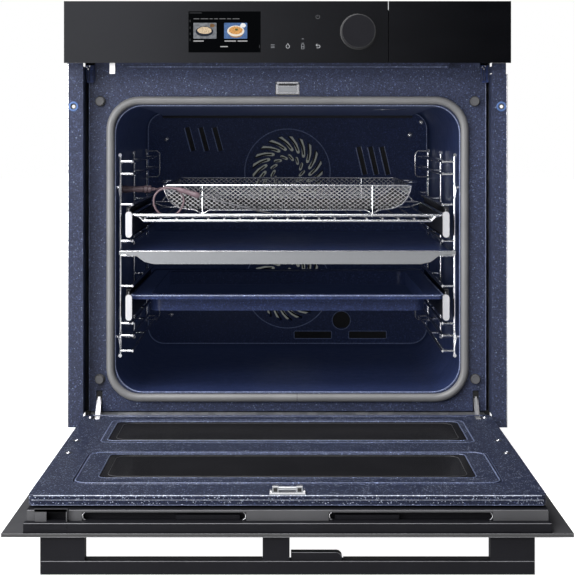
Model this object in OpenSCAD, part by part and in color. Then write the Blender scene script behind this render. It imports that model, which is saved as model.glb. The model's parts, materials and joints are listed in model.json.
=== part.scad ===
// Built-in wall oven with a drop-down door that holds a second, flexible door.
// Millimetres. +X right, +Y into the housing, +Z up. Pieces are drawn from the front plane of
// the cabinet (y = 0) and the underside of the base (z = 0), then moved so that the origin is
// the centre of the base. Door pieces are drawn shut and then laid open.

/* [Front] */
// Width of the glass front
front_w = 595; // [594:0.5:596]
// Height of the whole front above the base
front_top = 596; // [595.5:0.5:598]
// Distance from the cabinet front to the glass face
front_out = 21; // [20.5:0.5:21]
// Thickness of the front glass
glass_t = 4; // [3:0.5:4]
// Lower edge of the control panel
panel_z = 513.8; // [513:0.2:515]
// Left edge of the water tank's front
tank_x = 134.7; // [134:0.1:136]

/* [Body] */
// Width of the casing
body_w = 551.2; // [551:0.1:552]
// Depth of the casing behind the cabinet front
body_depth = 549; // [549:1:555]
// Height of the casing
body_top = 586; // [586:0.5:588]
// Thickness of the sheet steel
sheet = 1.2; // [1:0.1:1.5]
// Width across the two cabinet screws
screw_span = 574.6; // [574:0.2:575]
// Height of the cabinet screws above the base
screw_z = 456; // [440:1:470]
// Radius of the cabinet screw holes
screw_hole_r = 2.4; // [2:0.1:3]

/* [Cavity] */
// Inside width of the cavity
cavity_w = 470; // [469:0.5:471]
// Height of the cavity floor
cavity_floor = 67; // [66:0.5:67]
// Height of the cavity ceiling
cavity_ceiling = 458; // [458:0.5:459]
// Depth at which the cavity's back wall stands
cavity_back = 500; // [500:1:505]
// Corner radius of the cavity
cavity_r = 38; // [34:1:40]
// Heights of the two fan centres
fan_heights = [355.5, 169];
// Radius of the fan rotors
fan_r = 58; // [50:1:60]

/* [Racks] */
// Heights of the side rack guides
guide_heights = [121, 142, 159, 210, 252, 272, 322, 364, 381];
// Height of the underside of the upper rails
rail_z = 276; // [275:0.5:276]
// Distance from the upper rails down to the lower ones
rail_drop = 112.7; // [112:0.1:113]
// Spacing of the wire rack's rods
rod_pitch = 21.6; // [18:0.2:22]

/* [Door] */
// Depth of the main hinge axis
hinge_y = 3; // [3:0.1:3.2]
// Height of the main hinge axis
hinge_z = 26; // [26:0.1:26.2]
// Width of the door's inner frame
door_w = 547.6; // [546:0.2:547.6]
// Top of the door's inner frame
door_top = 485; // [483:0.5:485]
// Top of the lower door glass
lower_glass_top = 228.4; // [226:0.2:228.4]
// Top of the upper door glass
upper_glass_top = 509.6; // [508:0.2:510]
// Width of the handle bar
handle_w = 515; // [480:5:540]

/* [Controls] */
// Radius of the dial
dial_r = 22; // [18:0.5:24]
// Sideways place of the dial
dial_x = 94; // [90:1:100]
// Height of the dial
dial_z = 555.2; // [553:0.2:557]

/* [Hidden] */
$fn = 48;

base_front = 30;                        // front edge of the base pan
base_mid = (base_front + body_depth) / 2;
half_front = front_w / 2;
half_body = body_w / 2;
half_cavity = cavity_w / 2;
cavity_mid = (cavity_floor + cavity_ceiling) / 2;
cavity_h = cavity_ceiling - cavity_floor;
face_y = 26;                            // front of the face plate
glass_back = glass_t - front_out;       // back of the front glass
liner_front = face_y + sheet;
baffle_y = 470;
fit = 0.05;                             // radial clearance of a running fit
pin_r = 1.95;                           // pins of the flexible door
flex_y = -13.5;                         // axis of the flexible door
flex_z = 236.5;
arm_x = 256;                            // middle of the main hinges
hinge_pin_r = 2.95;
rack_half = 215;                        // wire rack's frame, centre of its side wires
probe_z = 341;
probe_y = 100;
ring_r = 72;                            // ring elements around the fans
blower_y = 385;
blower_z = 531;
blower_r = 40;
bush_r = 6.2;
lever_x = -234.1;

// Steps of the temperature probe's cord, from the plug's neck to the handle
cord_points = [
  [-186, 100, 341], [-184, 100, 341], [-181, 97, 341.5], [-179, 89, 342.5], [-176, 79, 343],
  [-170, 68, 344], [-162, 61, 344.5], [-152, 58, 341.5], [-145, 57, 334], [-143, 56, 326],
  [-146, 55, 317], [-153, 54, 309], [-164, 53, 306.5], [-175, 52, 309], [-182, 51, 317],
  [-184, 50, 326], [-182, 49, 335], [-175, 48, 342], [-165, 48, 344.5], [-157, 48, 344.5],
  [-151, 48, 343.5]
];
cord_r = 1.5;
cord_sides = 8;
cord_steps = 4;                         // rings between two route points

// ---------------------------------------------------------------- helpers

// Moves a piece from the cabinet's front plane to the part's own origin.
module placed() {
  translate([0, -base_mid, 0]) children();
}

// Lays a door piece, drawn shut, open about the main hinge.
module laid_open() {
  placed() translate([0, hinge_y, hinge_z]) rotate([90, 0, 0])
    translate([0, -hinge_y, -hinge_z]) children();
}

module both_sides() {
  children();
  mirror([1, 0, 0]) children();
}

// Block between two values on each axis.
module block(x, y, z) {
  translate([x[0], y[0], z[0]]) cube([x[1] - x[0], y[1] - y[0], z[1] - z[0]]);
}

// Upright outline, x and z, given a thickness from y[0] to y[1].
module upright(y) {
  translate([0, y[1], 0]) rotate([90, 0, 0]) linear_extrude(y[1] - y[0]) children();
}

// Outline in y and z, given a thickness from x[0] to x[1].
module sideways(x) {
  translate([x[0], 0, 0]) rotate([90, 0, 90]) linear_extrude(x[1] - x[0]) children();
}

module rounded(w, h, r) {
  square([w - 2 * r, h], center = true);
  square([w, h - 2 * r], center = true);
  for (sx = [-1, 1], sz = [-1, 1])
    translate([sx * (w / 2 - r), sz * (h / 2 - r)]) circle(r);
}

// Rounded upright slab around a centre height.
module panel(w, z, r, y) {
  upright(y) translate([0, (z[0] + z[1]) / 2]) rounded(w, z[1] - z[0], r);
}

module rod_x(x, y, z, r) {
  translate([x[0], y, z]) rotate([0, 90, 0]) cylinder(h = x[1] - x[0], r = r);
}

module rod_y(x, y, z, r) {
  translate([x, y[0], z]) rotate([-90, 0, 0]) cylinder(h = y[1] - y[0], r = r);
}

module rod_z(x, y, z, r) {
  translate([x, y, z[0]]) cylinder(h = z[1] - z[0], r = r);
}

// Straight rod between any two points.
module rod(a, b, r) {
  d = b - a;
  translate(a) rotate([0, acos(d.z / norm(d)), atan2(d.y, d.x)]) cylinder(h = norm(d), r = r);
}

// Quarter bend of wire in the level plane, from angle a.
module level_bend(at, a, bend_r, r) {
  translate(at) rotate([0, 0, a]) rotate_extrude(angle = 90) translate([bend_r, 0]) circle(r);
}

// Quarter bend of wire in the upright x-z plane, from angle a.
module upright_bend(at, a, bend_r, r) {
  translate(at) rotate([90, 0, 0]) rotate([0, 0, a])
    rotate_extrude(angle = 90) translate([bend_r, 0]) circle(r);
}

// Level loop of wire with rounded corners.
module wire_loop(half_x, y, z, bend_r, r) {
  for (yy = y) rod_x([bend_r - half_x, half_x - bend_r], yy, z, r);
  for (sx = [-1, 1]) rod_y(sx * half_x, [y[0] + bend_r, y[1] - bend_r], z, r);
  level_bend([half_x - bend_r, y[1] - bend_r, z], 0, bend_r, r);
  level_bend([bend_r - half_x, y[1] - bend_r, z], 90, bend_r, r);
  level_bend([bend_r - half_x, y[0] + bend_r, z], 180, bend_r, r);
  level_bend([half_x - bend_r, y[0] + bend_r, z], 270, bend_r, r);
}

// ---------------------------------------------------------------- control panel

module control_fascia() {
  screen_x = [-131.9, -35.5];
  screen_z = [527.5, 582.5];
  shaft_hole_r = 5;
  gap = 0.9;
  color("#101114") placed() difference() {
    block([-half_front, tank_x - gap], [-front_out, glass_back], [panel_z, front_top]);
    block(screen_x, [-front_out - 1, glass_back + 1], screen_z);
    rod_y(dial_x, [-front_out - 1, glass_back + 1], dial_z, shaft_hole_r);
  }
}

module display_screen() {
  color("#1c2430") placed() block([-131.9, -35.5], [-front_out, -12], [527.5, 582.5]);
}

module fascia_carrier() {
  wall = 2;
  back = -3;
  left = -half_front + 1.5;
  right = tank_x - 2.5;
  low = panel_z + 1.2;
  high = front_top - 10.4;
  bracket_top = body_top - 1.3;
  color("#2b2d30") placed() difference() {
    union() {
      block([left, right], [glass_back, back + wall], [low, high]);
      block([-half_body + 1.3, -half_body + 14], [back + wall, base_front], [low + 1, bracket_top]);
      block([right - 14, right], [back + wall, 9.5], [low + 30, bracket_top]);
    }
    block([left + wall, right - wall], [glass_back - 1, back], [low + wall, high - wall]);
    block([-246, -229], [glass_back - 1, 2], [low - 1, 545]);
    rod_y(dial_x, [back - 1, 3], dial_z, 5);
  }
  color("#2b2d30") placed() for (x = [-200, -10, 60]) rod_y(x, [-10, back], 576, 3);
}

module circuit_boards() {
  board_y = [-11.6, -10];
  color("#2f6b45") placed() difference() {
    union() {
      block([-215, 125], board_y, [532, 579.5]);
      rod_y(dial_x, [-16.5, -8.5], dial_z, 6.5);
      for (x = [-200, -175, -20, 10]) block([x, x + 16], [-10, -6.5], [540, 556]);
    }
    rod_y(dial_x, [-20, 0], dial_z, 3 + fit);
    block([-133, -34], [-18, -8], [526, 579]);
  }
}

module dial_shaft() {
  shaft_r = 3;
  color("#c8c8c8") placed() {
    rod_y(dial_x, [-32.5, -5.2], dial_z, shaft_r);
    rod_y(dial_x, [-7.4, -5.2], dial_z, 4.5);
  }
}

module dial_knob() {
  front = -37;
  back = -22.6;
  color("#1a1b1d") placed() difference() {
    union() {
      rod_y(dial_x, [front + 1, back], dial_z, dial_r);
      rod_y(dial_x, [front, front + 1], dial_z, dial_r - 1);
    }
    rod_y(dial_x, [-33, back + 1], dial_z, 3 + fit);
    rod_y(dial_x, [-27, back + 1], dial_z, dial_r - 3);
  }
  color("#1a1b1d") placed() difference() {
    rod_y(dial_x, [-27.5, back - 0.5], dial_z, 6);
    rod_y(dial_x, [-28, back + 1], dial_z, 3 + fit);
  }
}

module switch_lever() {
  pivot_y = -9;
  pivot_z = 538;
  half = 3.6;
  color("#e8e8e4") placed() difference() {
    union() {
      block([lever_x - half, lever_x + half], [-12, -9.6], [499.6, pivot_z]);
      rod_x([lever_x - half, lever_x + half], pivot_y - 0.8, pivot_z, half);
    }
    rod_x([lever_x - 5, lever_x + 5], pivot_y, pivot_z, 1.5);
  }
}

// ---------------------------------------------------------------- water tank

module tank_fascia() {
  color("#0c0d0f") placed() {
    block([tank_x, half_front], [-front_out, glass_back], [panel_z, front_top]);
    block([tank_x + 1, half_front - 1.5], [glass_back, -16.9], [panel_z + 1.5, 584]);
  }
}

module water_tank() {
  wall = 2;
  x = [139, 270];
  y = [-16.9, 200];
  z = [522, 578];
  color("#b9c2c8", 0.7) placed() difference() {
    block(x, y, z);
    block([x[0] + wall, x[1] - wall], [y[0] + wall, y[1] - wall], [z[0] + wall, z[1] + 1]);
  }
}

module tank_bay() {
  wall = 1.2;
  x = [136.5, 272.5];
  z = [519, 582];
  back = 210;
  color("#3a3c3f") placed() difference() {
    block(x, [-15, back], z);
    block([x[0] + wall, x[1] - wall], [-16, back - wall], [z[0] + wall, z[1] - wall]);
  }
}

// ---------------------------------------------------------------- casing

module top_cover() {
  slot = [24, 5];
  color("#a9acae") placed() difference() {
    block([-half_body, half_body], [0, body_depth], [body_top - 1, body_top]);
    for (i = [0:7], j = [0:2])
      block([i * 50 - 200, i * 50 - 200 + slot[0]], [480 + j * 16, 480 + j * 16 + slot[1]],
        [body_top - 2, body_top + 1]);
  }
}

module side_panels() {
  color("#a9acae") placed() both_sides() {
    block([half_body - 1, half_body], [28, body_depth - 1], [sheet, body_top - 1]);
    block([half_body - 1, half_body], [0, 28], [515, body_top - 1]);
  }
}

module rear_cover() {
  color("#a0a3a5") placed() difference() {
    block([-half_body, half_body], [body_depth - 1, body_depth], [sheet, body_top - 1]);
    block([-225, -185], [body_depth - 2, body_depth + 1], [505, 535]);
    for (i = [0:8], j = [0:5])
      block([i * 24 - 60, i * 24 - 44], [body_depth - 2, body_depth + 1],
        [380 + j * 12, 384 + j * 12]);
  }
}

module base_pan() {
  color("#a0a3a5") placed() difference() {
    union() {
      block([-half_body, half_body], [base_front, body_depth], [0, sheet]);
      block([-half_body + 6, half_body - 6], [base_front, base_front + sheet], [sheet, 40]);
    }
    for (i = [0:15]) block([i * 30 - 235, i * 30 - 215], [base_front - 1, base_front + 3], [12, 16]);
    for (i = [0:8]) block([i * 50 - 212, i * 50 - 188], [90, 96], [-1, sheet + 1]);
  }
}

module side_trims() {
  inner = half_body - sheet;
  outer = 295.5;
  left_top = 514.4;
  right_top = 499.8;
  bracket = [501, 513.2];
  web_top = 510;
  hole_r = bush_r;
  color("#6a6c6f") placed() {
    for (side = [-1, 1]) {
      top = side < 0 ? left_top : right_top;
      difference() {
        union() {
          block(side < 0 ? [-outer, -inner] : [inner, outer], [-1.5, 0], [24.9, top]);
          block(side < 0 ? [-half_body, -inner] : [inner, half_body], [-0.5, 28], [42, min(top, web_top)]);
        }
        rod_y(side * screw_span / 2, [-3, 2], screw_z, hole_r);
      }
    }
    block([inner, outer - 2], [-1.5, 0], bracket);
    block([inner, half_body], [0, 28], [bracket[0], web_top]);
  }
}

module screw_bushes() {
  color("#506ea0") placed() for (side = [-1, 1]) difference() {
    rod_y(side * screw_span / 2, [-1.5, 0], screw_z, bush_r);
    rod_y(side * screw_span / 2, [-2, 1], screw_z, screw_hole_r);
  }
}

module face_plate() {
  slot_x = [arm_x - 4, arm_x + 4];
  low = 42;
  high = 508;
  lip_half = 218;
  color("#3a4453") placed() {
    difference() {
      upright([face_y, liner_front]) difference() {
        translate([-270, low]) square([540, high - low]);
        translate([0, cavity_mid]) rounded(cavity_w, cavity_h, cavity_r);
      }
      both_sides() block(slot_x, [face_y - 1, face_y + 3], [low - 1, 70]);
      block([-16.4, 16.4], [face_y - 1, face_y + 3], [472, 490]);
    }
    block([-lip_half, lip_half], [8, liner_front], [high, high + sheet]);
  }
}

module bumper_pads() {
  pad_r = 5.4;
  flange_r = 6.4;
  color("#7c7f82") placed() both_sides() for (p = [[254.5, 463.4], [255.3, 86]]) {
    rod_y(p[0], [18, face_y], p[1], pad_r);
    rod_y(p[0], [24.6, face_y], p[1], flange_r);
  }
}

module latch_catch() {
  color("#c2c4c6") placed() {
    block([-15, 15], [29.6, 31], [473, 489]);
    block([-24, 24], [liner_front, 29.6], [490.2, 496]);
    block([-24, 24], [29.6, 31], [489, 496]);
  }
}

module terminal_block() {
  color("#d9d6c8") placed() difference() {
    block([-230, -180], [520, body_depth - 1], [500, 540]);
    block([-224, -186], [525, body_depth + 1], [506, 534]);
  }
  color("#d9d6c8") placed() for (x = [-214, -205, -196]) rod_y(x, [525, 538], 520, 3);
}

// ---------------------------------------------------------------- cavity

module cavity_liner() {
  outer_w = cavity_w + 2 * sheet;
  outer_h = cavity_h + 2 * sheet;
  color("#1c2236") placed() difference() {
    union() {
      upright([liner_front, cavity_back]) translate([0, cavity_mid]) difference() {
        rounded(outer_w, outer_h, cavity_r + sheet);
        rounded(cavity_w, cavity_h, cavity_r);
      }
      panel(outer_w, [cavity_floor - sheet, cavity_ceiling + sheet], cavity_r + sheet,
        [cavity_back, cavity_back + sheet]);
    }
    for (z = fan_heights) rod_y(0, [cavity_back - 1, cavity_back + 3], z, 6);
    rod_x([-half_cavity - 3, -half_cavity + 1], probe_y, probe_z, 6);
    rod_z(150, 200, [cavity_ceiling - 1, cavity_ceiling + 3], 26);
  }
}

// Corner of a slot: w / 2 to the left of the direction d.
function beside(d, w) = [-d.y, d.x] * w / (2 * norm(d));

// Outline of a bent slot through three points, with its end corners cut off.
module bent_slot(a, b, c, w) {
  u = (b - a) / norm(b - a);
  v = (c - b) / norm(c - b);
  m = beside(u + v, w);
  polygon([
    a - u * w / 2 + beside(u, w / 2), a + beside(u, w), b + m, c + beside(v, w),
    c + v * w / 2 + beside(v, w / 2), c + v * w / 2 - beside(v, w / 2),
    c - beside(v, w), b - m, a - beside(u, w), a - u * w / 2 - beside(u, w / 2)
  ]);
}

// Louvres of one fan grille: a ring of long bent ones around a ring of short ones.
module fan_louvres() {
  long_count = 21;
  short_count = 13;
  for (i = [0:long_count - 1]) rotate(i * 360 / long_count)
    bent_slot([58.5, 0], 47 * [cos(12), -sin(12)], 37 * [cos(24), -sin(24)], 5.4);
  for (i = [0:short_count - 1]) rotate(i * 360 / short_count)
    bent_slot([26.5, 0], 24 * [cos(7), -sin(7)], 21.5 * [cos(16), -sin(16)], 4.6);
}

module rear_baffle() {
  half_w = 229;
  low = 73;
  high = 452;
  bead_r = 71;
  color("#1c2236") placed() {
    upright([baffle_y, baffle_y + 1.5]) difference() {
      translate([0, (low + high) / 2]) rounded(2 * half_w, high - low, 26);
      for (z = fan_heights) translate([0, z]) fan_louvres();
      for (x = [-160, -137.5, -115]) translate([x, 409]) rotate(15) square([8.4, 40], center = true);
      for (x = [122, 141, 160]) translate([x, 373.5]) rotate(13) square([8.4, 47], center = true);
      translate([11.3, 81.8]) square([60.6, 11.5]);
      translate([101, 81.8]) square([61, 11.5]);
      translate([88.4, 111.5]) circle(14.5);
    }
    for (z = fan_heights) upright([baffle_y - 1, baffle_y + 0.5]) translate([0, z]) difference() {
      circle(bead_r);
      circle(bead_r - 1.6);
    }
    upright([baffle_y + 1.5, cavity_back]) translate([0, (low + high) / 2]) difference() {
      rounded(2 * half_w, high - low, 26);
      rounded(2 * half_w - 2.4, high - low - 2.4, 24.8);
    }
  }
}

module baffle_screws() {
  color("#b8babc") placed()
    for (p = [[-198.6, 409], [201, 416], [-190.6, 121], [220, 437]])
      rod_y(p[0], [baffle_y - 2, baffle_y], p[1], 4);
}

module cavity_gasket() {
  section_r = 5.4;
  mid_x = 240.6;
  low = 60.9;
  high = 464.6;
  bend_r = 40.6;
  mid_y = 22.8;
  color("#7b7b78") placed() difference() {
    union() {
      for (z = [low, high]) rod_x([bend_r - mid_x, mid_x - bend_r], mid_y, z, section_r);
      for (x = [-mid_x, mid_x]) rod_z(x, mid_y, [low + bend_r, high - bend_r], section_r);
      upright_bend([mid_x - bend_r, mid_y, high - bend_r], 0, bend_r, section_r);
      upright_bend([bend_r - mid_x, mid_y, high - bend_r], 90, bend_r, section_r);
      upright_bend([bend_r - mid_x, mid_y, low + bend_r], 180, bend_r, section_r);
      upright_bend([mid_x - bend_r, mid_y, low + bend_r], 270, bend_r, section_r);
    }
    block([-260, 260], [face_y, face_y + 10], [40, 490]);
  }
}

// Fan wheel with its shaft, which runs back into the motor.
module fan_wheel(height) {
  blades = 16;
  blade_t = 1;
  color("#9a9c9e") placed() {
    rod_y(0, [492.5, 494], height, fan_r);
    rod_y(0, [478, 494], height, 12);
    rod_y(0, [494, 531.5], height, 4);
    for (i = [0:blades - 1]) translate([0, 0, height]) rotate([0, i * 360 / blades, 0])
      block([30, fan_r - 1], [476, 493], [-blade_t / 2, blade_t / 2]);
  }
}

module upper_fan() {
  fan_wheel(fan_heights[0]);
}

module lower_fan() {
  fan_wheel(fan_heights[1]);
}

module fan_motors() {
  color("#8d8f91") placed() for (z = fan_heights) difference() {
    union() {
      rod_y(0, [520, 546], z, 30);
      block([-42, 42], [520, 522], [z - 12, z + 12]);
    }
    rod_y(0, [519, 532.5], z, 4 + fit);
  }
}

module heating_elements() {
  tube_r = 3.5;
  grill_z = cavity_ceiling + sheet + tube_r + 0.2;
  legs = [-150, -90, -30, 30, 90];
  color("#3c3a38") placed() {
    for (z = fan_heights) {
      translate([0, 484, z]) rotate([90, 0, 0]) rotate_extrude() translate([ring_r, 0]) circle(tube_r);
      for (x = [-20, 20]) rod_y(x, [484, cavity_back], z + sqrt(ring_r * ring_r - x * x), 3);
    }
    for (x = legs) rod_y(x, [110, 400], grill_z, tube_r);
    for (i = [0:3]) translate([legs[i] + 30, i % 2 == 0 ? 110 : 400, grill_z])
      rotate([0, 0, i % 2 == 0 ? 180 : 0]) rotate_extrude(angle = 180) translate([30, 0]) circle(tube_r);
  }
}

module insulation() {
  blanket = 18;
  front = 32;
  inner_w = cavity_w + 2 * sheet + 0.4;
  inner_h = cavity_h + 2 * sheet + 0.4;
  inner_r = cavity_r + sheet + 0.2;
  back = cavity_back + sheet + 0.2;
  color("#d8d2b8") placed() difference() {
    upright([front, back + blanket - 0.6]) translate([0, cavity_mid])
      rounded(inner_w + 2 * blanket, inner_h + 2 * blanket, inner_r + blanket);
    upright([front - 1, back]) translate([0, cavity_mid]) rounded(inner_w, inner_h, inner_r);
    for (z = fan_heights) rod_y(0, [back - 1, back + blanket + 1], z, 8);
    rod_x([-280, -half_cavity], probe_y, probe_z, 9);
    rod_z(150, 200, [cavity_ceiling, cavity_ceiling + 30], 32);
    block([-156, 96], [70, 440], [cavity_ceiling, cavity_ceiling + 10]);
  }
}

module lamp_lens() {
  color("#e9ecef", 0.6) placed() {
    rod_z(150, 200, [cavity_ceiling - 4, cavity_ceiling + 14], 25.5);
    rod_z(150, 200, [cavity_ceiling + sheet, cavity_ceiling + 4], 30);
  }
}

// ---------------------------------------------------------------- cooling blower

module blower_housing() {
  wall = 1.5;
  duct_x = [-215, 130];
  duct_front = 30;
  duct_z = [510, 540];
  fan_x = [-150, 100];
  fan_y = [300, 470];
  fan_z = [482, 580];
  color("#8b8e90") placed() difference() {
    union() {
      block(duct_x, [duct_front, 300], duct_z);
      block(fan_x, fan_y, fan_z);
    }
    block([duct_x[0] + wall, duct_x[1] - wall], [duct_front - 1, 300 - wall],
      [duct_z[0] + wall, duct_z[1] - wall]);
    block([fan_x[0] + wall, fan_x[1] - wall], [300 - 2 * wall, fan_y[1] - wall],
      [duct_z[0] + wall, duct_z[1] - wall]);
    block([fan_x[0] + wall, fan_x[1] - wall], [300 + wall, fan_y[1] - wall],
      [fan_z[0] + wall, fan_z[1] - wall]);
    rod_x([fan_x[0] - 1, fan_x[0] + 3], blower_y, blower_z, 4 + fit);
    rod_x([fan_x[1] - 3, fan_x[1] + 1], blower_y, blower_z, 4 + fit);
    for (a = [0:60:300]) translate([0, blower_y + 22 * cos(a), blower_z + 22 * sin(a)])
      rod_x([fan_x[0] - 1, fan_x[0] + 3], 0, 0, 8);
  }
}

module blower_rotor() {
  blades = 20;
  ends = [-130, 80];
  color("#5a5c5e") placed() {
    rod_x([-152, 102], blower_y, blower_z, 4);
    for (x = [ends[0], -26, ends[1] - 2]) rod_x([x, x + 2], blower_y, blower_z, blower_r);
    for (i = [0:blades - 1]) translate([0, blower_y, blower_z]) rotate([i * 360 / blades, 0, 0])
      block(ends, [blower_r - 9, blower_r - 1], [-0.5, 0.5]);
  }
}

// ---------------------------------------------------------------- temperature probe

module probe_socket() {
  color("#b8babc") placed() difference() {
    union() {
      rod_x([-half_cavity - 24, -half_cavity], probe_y, probe_z, 5.8);
      rod_x([-half_cavity, -half_cavity + 1.5], probe_y, probe_z, 8);
    }
    rod_x([-half_cavity - 18, -half_cavity + 2], probe_y, probe_z, 3.2);
  }
}

module probe_plug() {
  color("#826a6e") placed() {
    rod_x([-half_cavity - 17, -half_cavity + 1.5], probe_y, probe_z, 3);
    rod_x([-half_cavity + 1.5, -196], probe_y, probe_z, 4);
    rod_x([-196, -192], probe_y, probe_z, 5.2);
    rod_x([-192, -186.4], probe_y, probe_z, 2.6);
  }
}

// Point on the smooth curve through four neighbouring route points.
function curve_point(a, b, c, d, t) =
  0.5 * ((2 * b) + (c - a) * t + (2 * a - 5 * b + 4 * c - d) * t * t
  + (3 * b - a - 3 * c + d) * t * t * t);

cord_last = len(cord_points) - 1;
cord_path = [
  for (i = [0:cord_last - 1], s = [0:cord_steps - 1])
    curve_point(cord_points[max(i - 1, 0)], cord_points[i], cord_points[i + 1],
      cord_points[min(i + 2, cord_last)], s / cord_steps),
  cord_points[cord_last]
];

// One ring of points around the path, kept square to it by two fixed directions.
function cord_ring(i) =
  let(
    along = cord_path[min(i + 1, len(cord_path) - 1)] - cord_path[max(i - 1, 0)],
    t = along / norm(along),
    u = cross(t, [0, 1, 0.4]) / norm(cross(t, [0, 1, 0.4])),
    v = cross(t, u)
  )
  [for (k = [0:cord_sides - 1])
    cord_path[i] + cord_r * (cos(k * 360 / cord_sides) * u + sin(k * 360 / cord_sides) * v)];

module probe_cord() {
  rings = len(cord_path);
  points = [for (i = [0:rings - 1]) each cord_ring(i)];
  walls = [
    for (i = [0:rings - 2], k = [0:cord_sides - 1])
      let(a = i * cord_sides + k, b = i * cord_sides + (k + 1) % cord_sides)
      [a, a + cord_sides, b + cord_sides, b]
  ];
  ends = [
    [for (k = [0:cord_sides - 1]) k],
    [for (k = [cord_sides - 1:-1:0]) (rings - 1) * cord_sides + k]
  ];
  color("#826a6e") placed() polyhedron(points, concat(walls, ends));
}

module probe_handle() {
  start = [-151, 48, 343.5];
  grip_end = [-127, 49, 335.5];
  collar_end = [-122, 49, 334];
  tip = [-10, 50, 306.2];
  color("#826a6e") placed() {
    rod(start, grip_end, 3);
    rod(grip_end, collar_end, 4.2);
  }
  color("#c9cbcd") placed() rod(collar_end, tip, 1.4);
}

// ---------------------------------------------------------------- side racks and rails

module side_racks() {
  wire = 2;
  front_x = 229.6;
  guide_x = 213.5;
  front = 46;
  middle = 240;
  back = 452;
  color("#c9cbcd") placed() both_sides() {
    rod_z(front_x, front, [115, 390], 2.2);
    rod_z(front_x, middle, [115, 390], wire);
    rod_z(front_x, back, [115, 390], 2.2);
    for (z = guide_heights) {
      rod_y(guide_x, [front, back], z, wire);
      for (y = [front, middle, back]) rod_x([guide_x, front_x], y, z, wire);
    }
    for (z = [140, 345]) for (y = [front, back]) rod_x([front_x, half_cavity - 0.1], y, z, 3);
    for (y = [front, middle, back]) for (z = [115, 390]) rod_y(front_x, [y - 2.4, y + 2.4], z, 2.4);
  }
}

// Left and right outer rails at one level.
module rail_base(lift) {
  lip = 1.5;
  translate([0, 0, lift]) both_sides() {
    block([220.6, 221.8], [52, 430], [rail_z, rail_z + 42]);
    for (z = [rail_z, rail_z + 42 - lip]) block([216, 220.6], [52, 430], [z, z + lip]);
  }
}

module rail_bases() {
  color("#aeb0b2") placed() {
    rail_base(0);
    rail_base(-rail_drop);
  }
}

module rail_middle(lift) {
  translate([0, 0, lift]) both_sides() block([216.4, 219.8], [36, 426], [rail_z + 3, rail_z + 26]);
}

module upper_rail_middles() {
  color("#b9bbbd") placed() rail_middle(0);
}

module lower_rail_middles() {
  color("#b9bbbd") placed() rail_middle(-rail_drop);
}

// Inner rails with their pill shaped end caps and locating pins.
module rail_runner(lift) {
  cap_r = 4.2;
  cap_x = 215.4;
  translate([0, 0, lift]) both_sides() {
    block([211.2, 215], [28, 420], [rail_z + 6, rail_z + 29.5]);
    block([cap_x - cap_r, cap_x + cap_r], [20, 28], [rail_z + 6.8, rail_z + 33.3]);
    for (z = [rail_z + 6.8, rail_z + 33.3]) rod_y(cap_x, [20, 28], z, cap_r);
    rod_z(cap_x, 24, [rail_z + 37, rail_z + 41.5], 1.8);
  }
}

module upper_rail_runners() {
  color("#d7d8d9") placed() rail_runner(0);
}

module lower_rail_runners() {
  color("#d7d8d9") placed() rail_runner(-rail_drop);
}

// ---------------------------------------------------------------- accessories

module wire_rack() {
  frame_z = 308;
  rod_level = 303.2;
  cross_z = 300.3;
  front = 32.4;
  back = 430;
  cross_half = 197;
  cross_back = back - 20;
  guard_z = 320;
  guard_half = 195;
  rods = 9;
  color("#c9cbcd") placed() {
    wire_loop(rack_half, [front, back], frame_z, 8, 2.4);
    for (i = [-rods:rods]) rod_y(i * rod_pitch, [front - 1, cross_back + 1], rod_level, 1.5);
    for (y = [front, cross_back]) rod_x([-cross_half, cross_half], y, cross_z, 2);
    for (s = [-1, 1]) {
      rod([s * (cross_half - 1), front, cross_z], [s * 204, front, frame_z], 1.8);
      rod([s * (cross_half - 1), cross_back, cross_z], [s * rack_half, cross_back, frame_z], 1.8);
      rod([s * (guard_half - 1), back, guard_z], [s * 204, back, frame_z], 1.8);
    }
    rod_x([-guard_half, guard_half], back, guard_z, 2);
  }
}

module air_fry_basket() {
  wall = 2;
  rim_z = 347.5;
  rim_half = 172;
  front = 72.2;
  back = 400;
  outer = [[-109, 314], [109, 314], [145, 322], [163, 335], [172, 347.5], [-172, 347.5],
    [-163, 335], [-145, 322]];
  inner = [[-108.5, 316], [108.5, 316], [144, 324], [161, 336], [169, 350], [-169, 350],
    [-161, 336], [-144, 324]];
  color("#b4b6b8") placed() {
    difference() {
      upright([front, back]) polygon(outer);
      upright([front + wall, back - wall]) polygon(inner);
    }
    for (y = [front, back]) rod_x([-rim_half, rim_half], y, rim_z, 2.2);
    for (x = [-rim_half, rim_half]) rod_y(x, [front, back], rim_z, 2.2);
    for (s = [-1, 1], x = [118], y = [front + 4, back - 4]) rod_z(s * x, y, [306.6, 320], 2);
    for (s = [-1, 1]) {
      rod_y(s * 190, [200, 270], rim_z, 2);
      for (y = [200, 270]) rod_x(s < 0 ? [-190, -rim_half] : [rim_half, 190], y, rim_z, 2);
    }
  }
}

module divider_trim() {
  low = 241.8;
  high = 259.6;
  end_h = 5.2;
  color("#b5b7b9") placed() upright([28, 33]) polygon([
    [-229.2, high], [-229.2, high - end_h], [-216.5, high - end_h], [-205, high - end_h - 2],
    [-195, low + 3], [-181.8, low], [181.8, low], [195, low + 3], [205, high - end_h - 2],
    [216.5, high - end_h], [229.2, high - end_h], [229.2, high]
  ]);
}

module divider_panel() {
  wing_z = 254.4;
  skin = 1;
  top = 259.4;
  low = 243;
  color("#232a40") placed() difference() {
    union() {
      block([-221.5, 221.5], [33, 440], [wing_z, top]);
      block([-180, 180], [33, 436], [low, wing_z + skin]);
    }
    block([-180 + skin, 180 - skin], [33 + skin, 436 - skin], [low + skin, top - skin]);
    for (s = [-1, 1]) block(s < 0 ? [-220, -182] : [182, 220], [35, 438], [wing_z + skin, top - skin]);
  }
}

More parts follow.
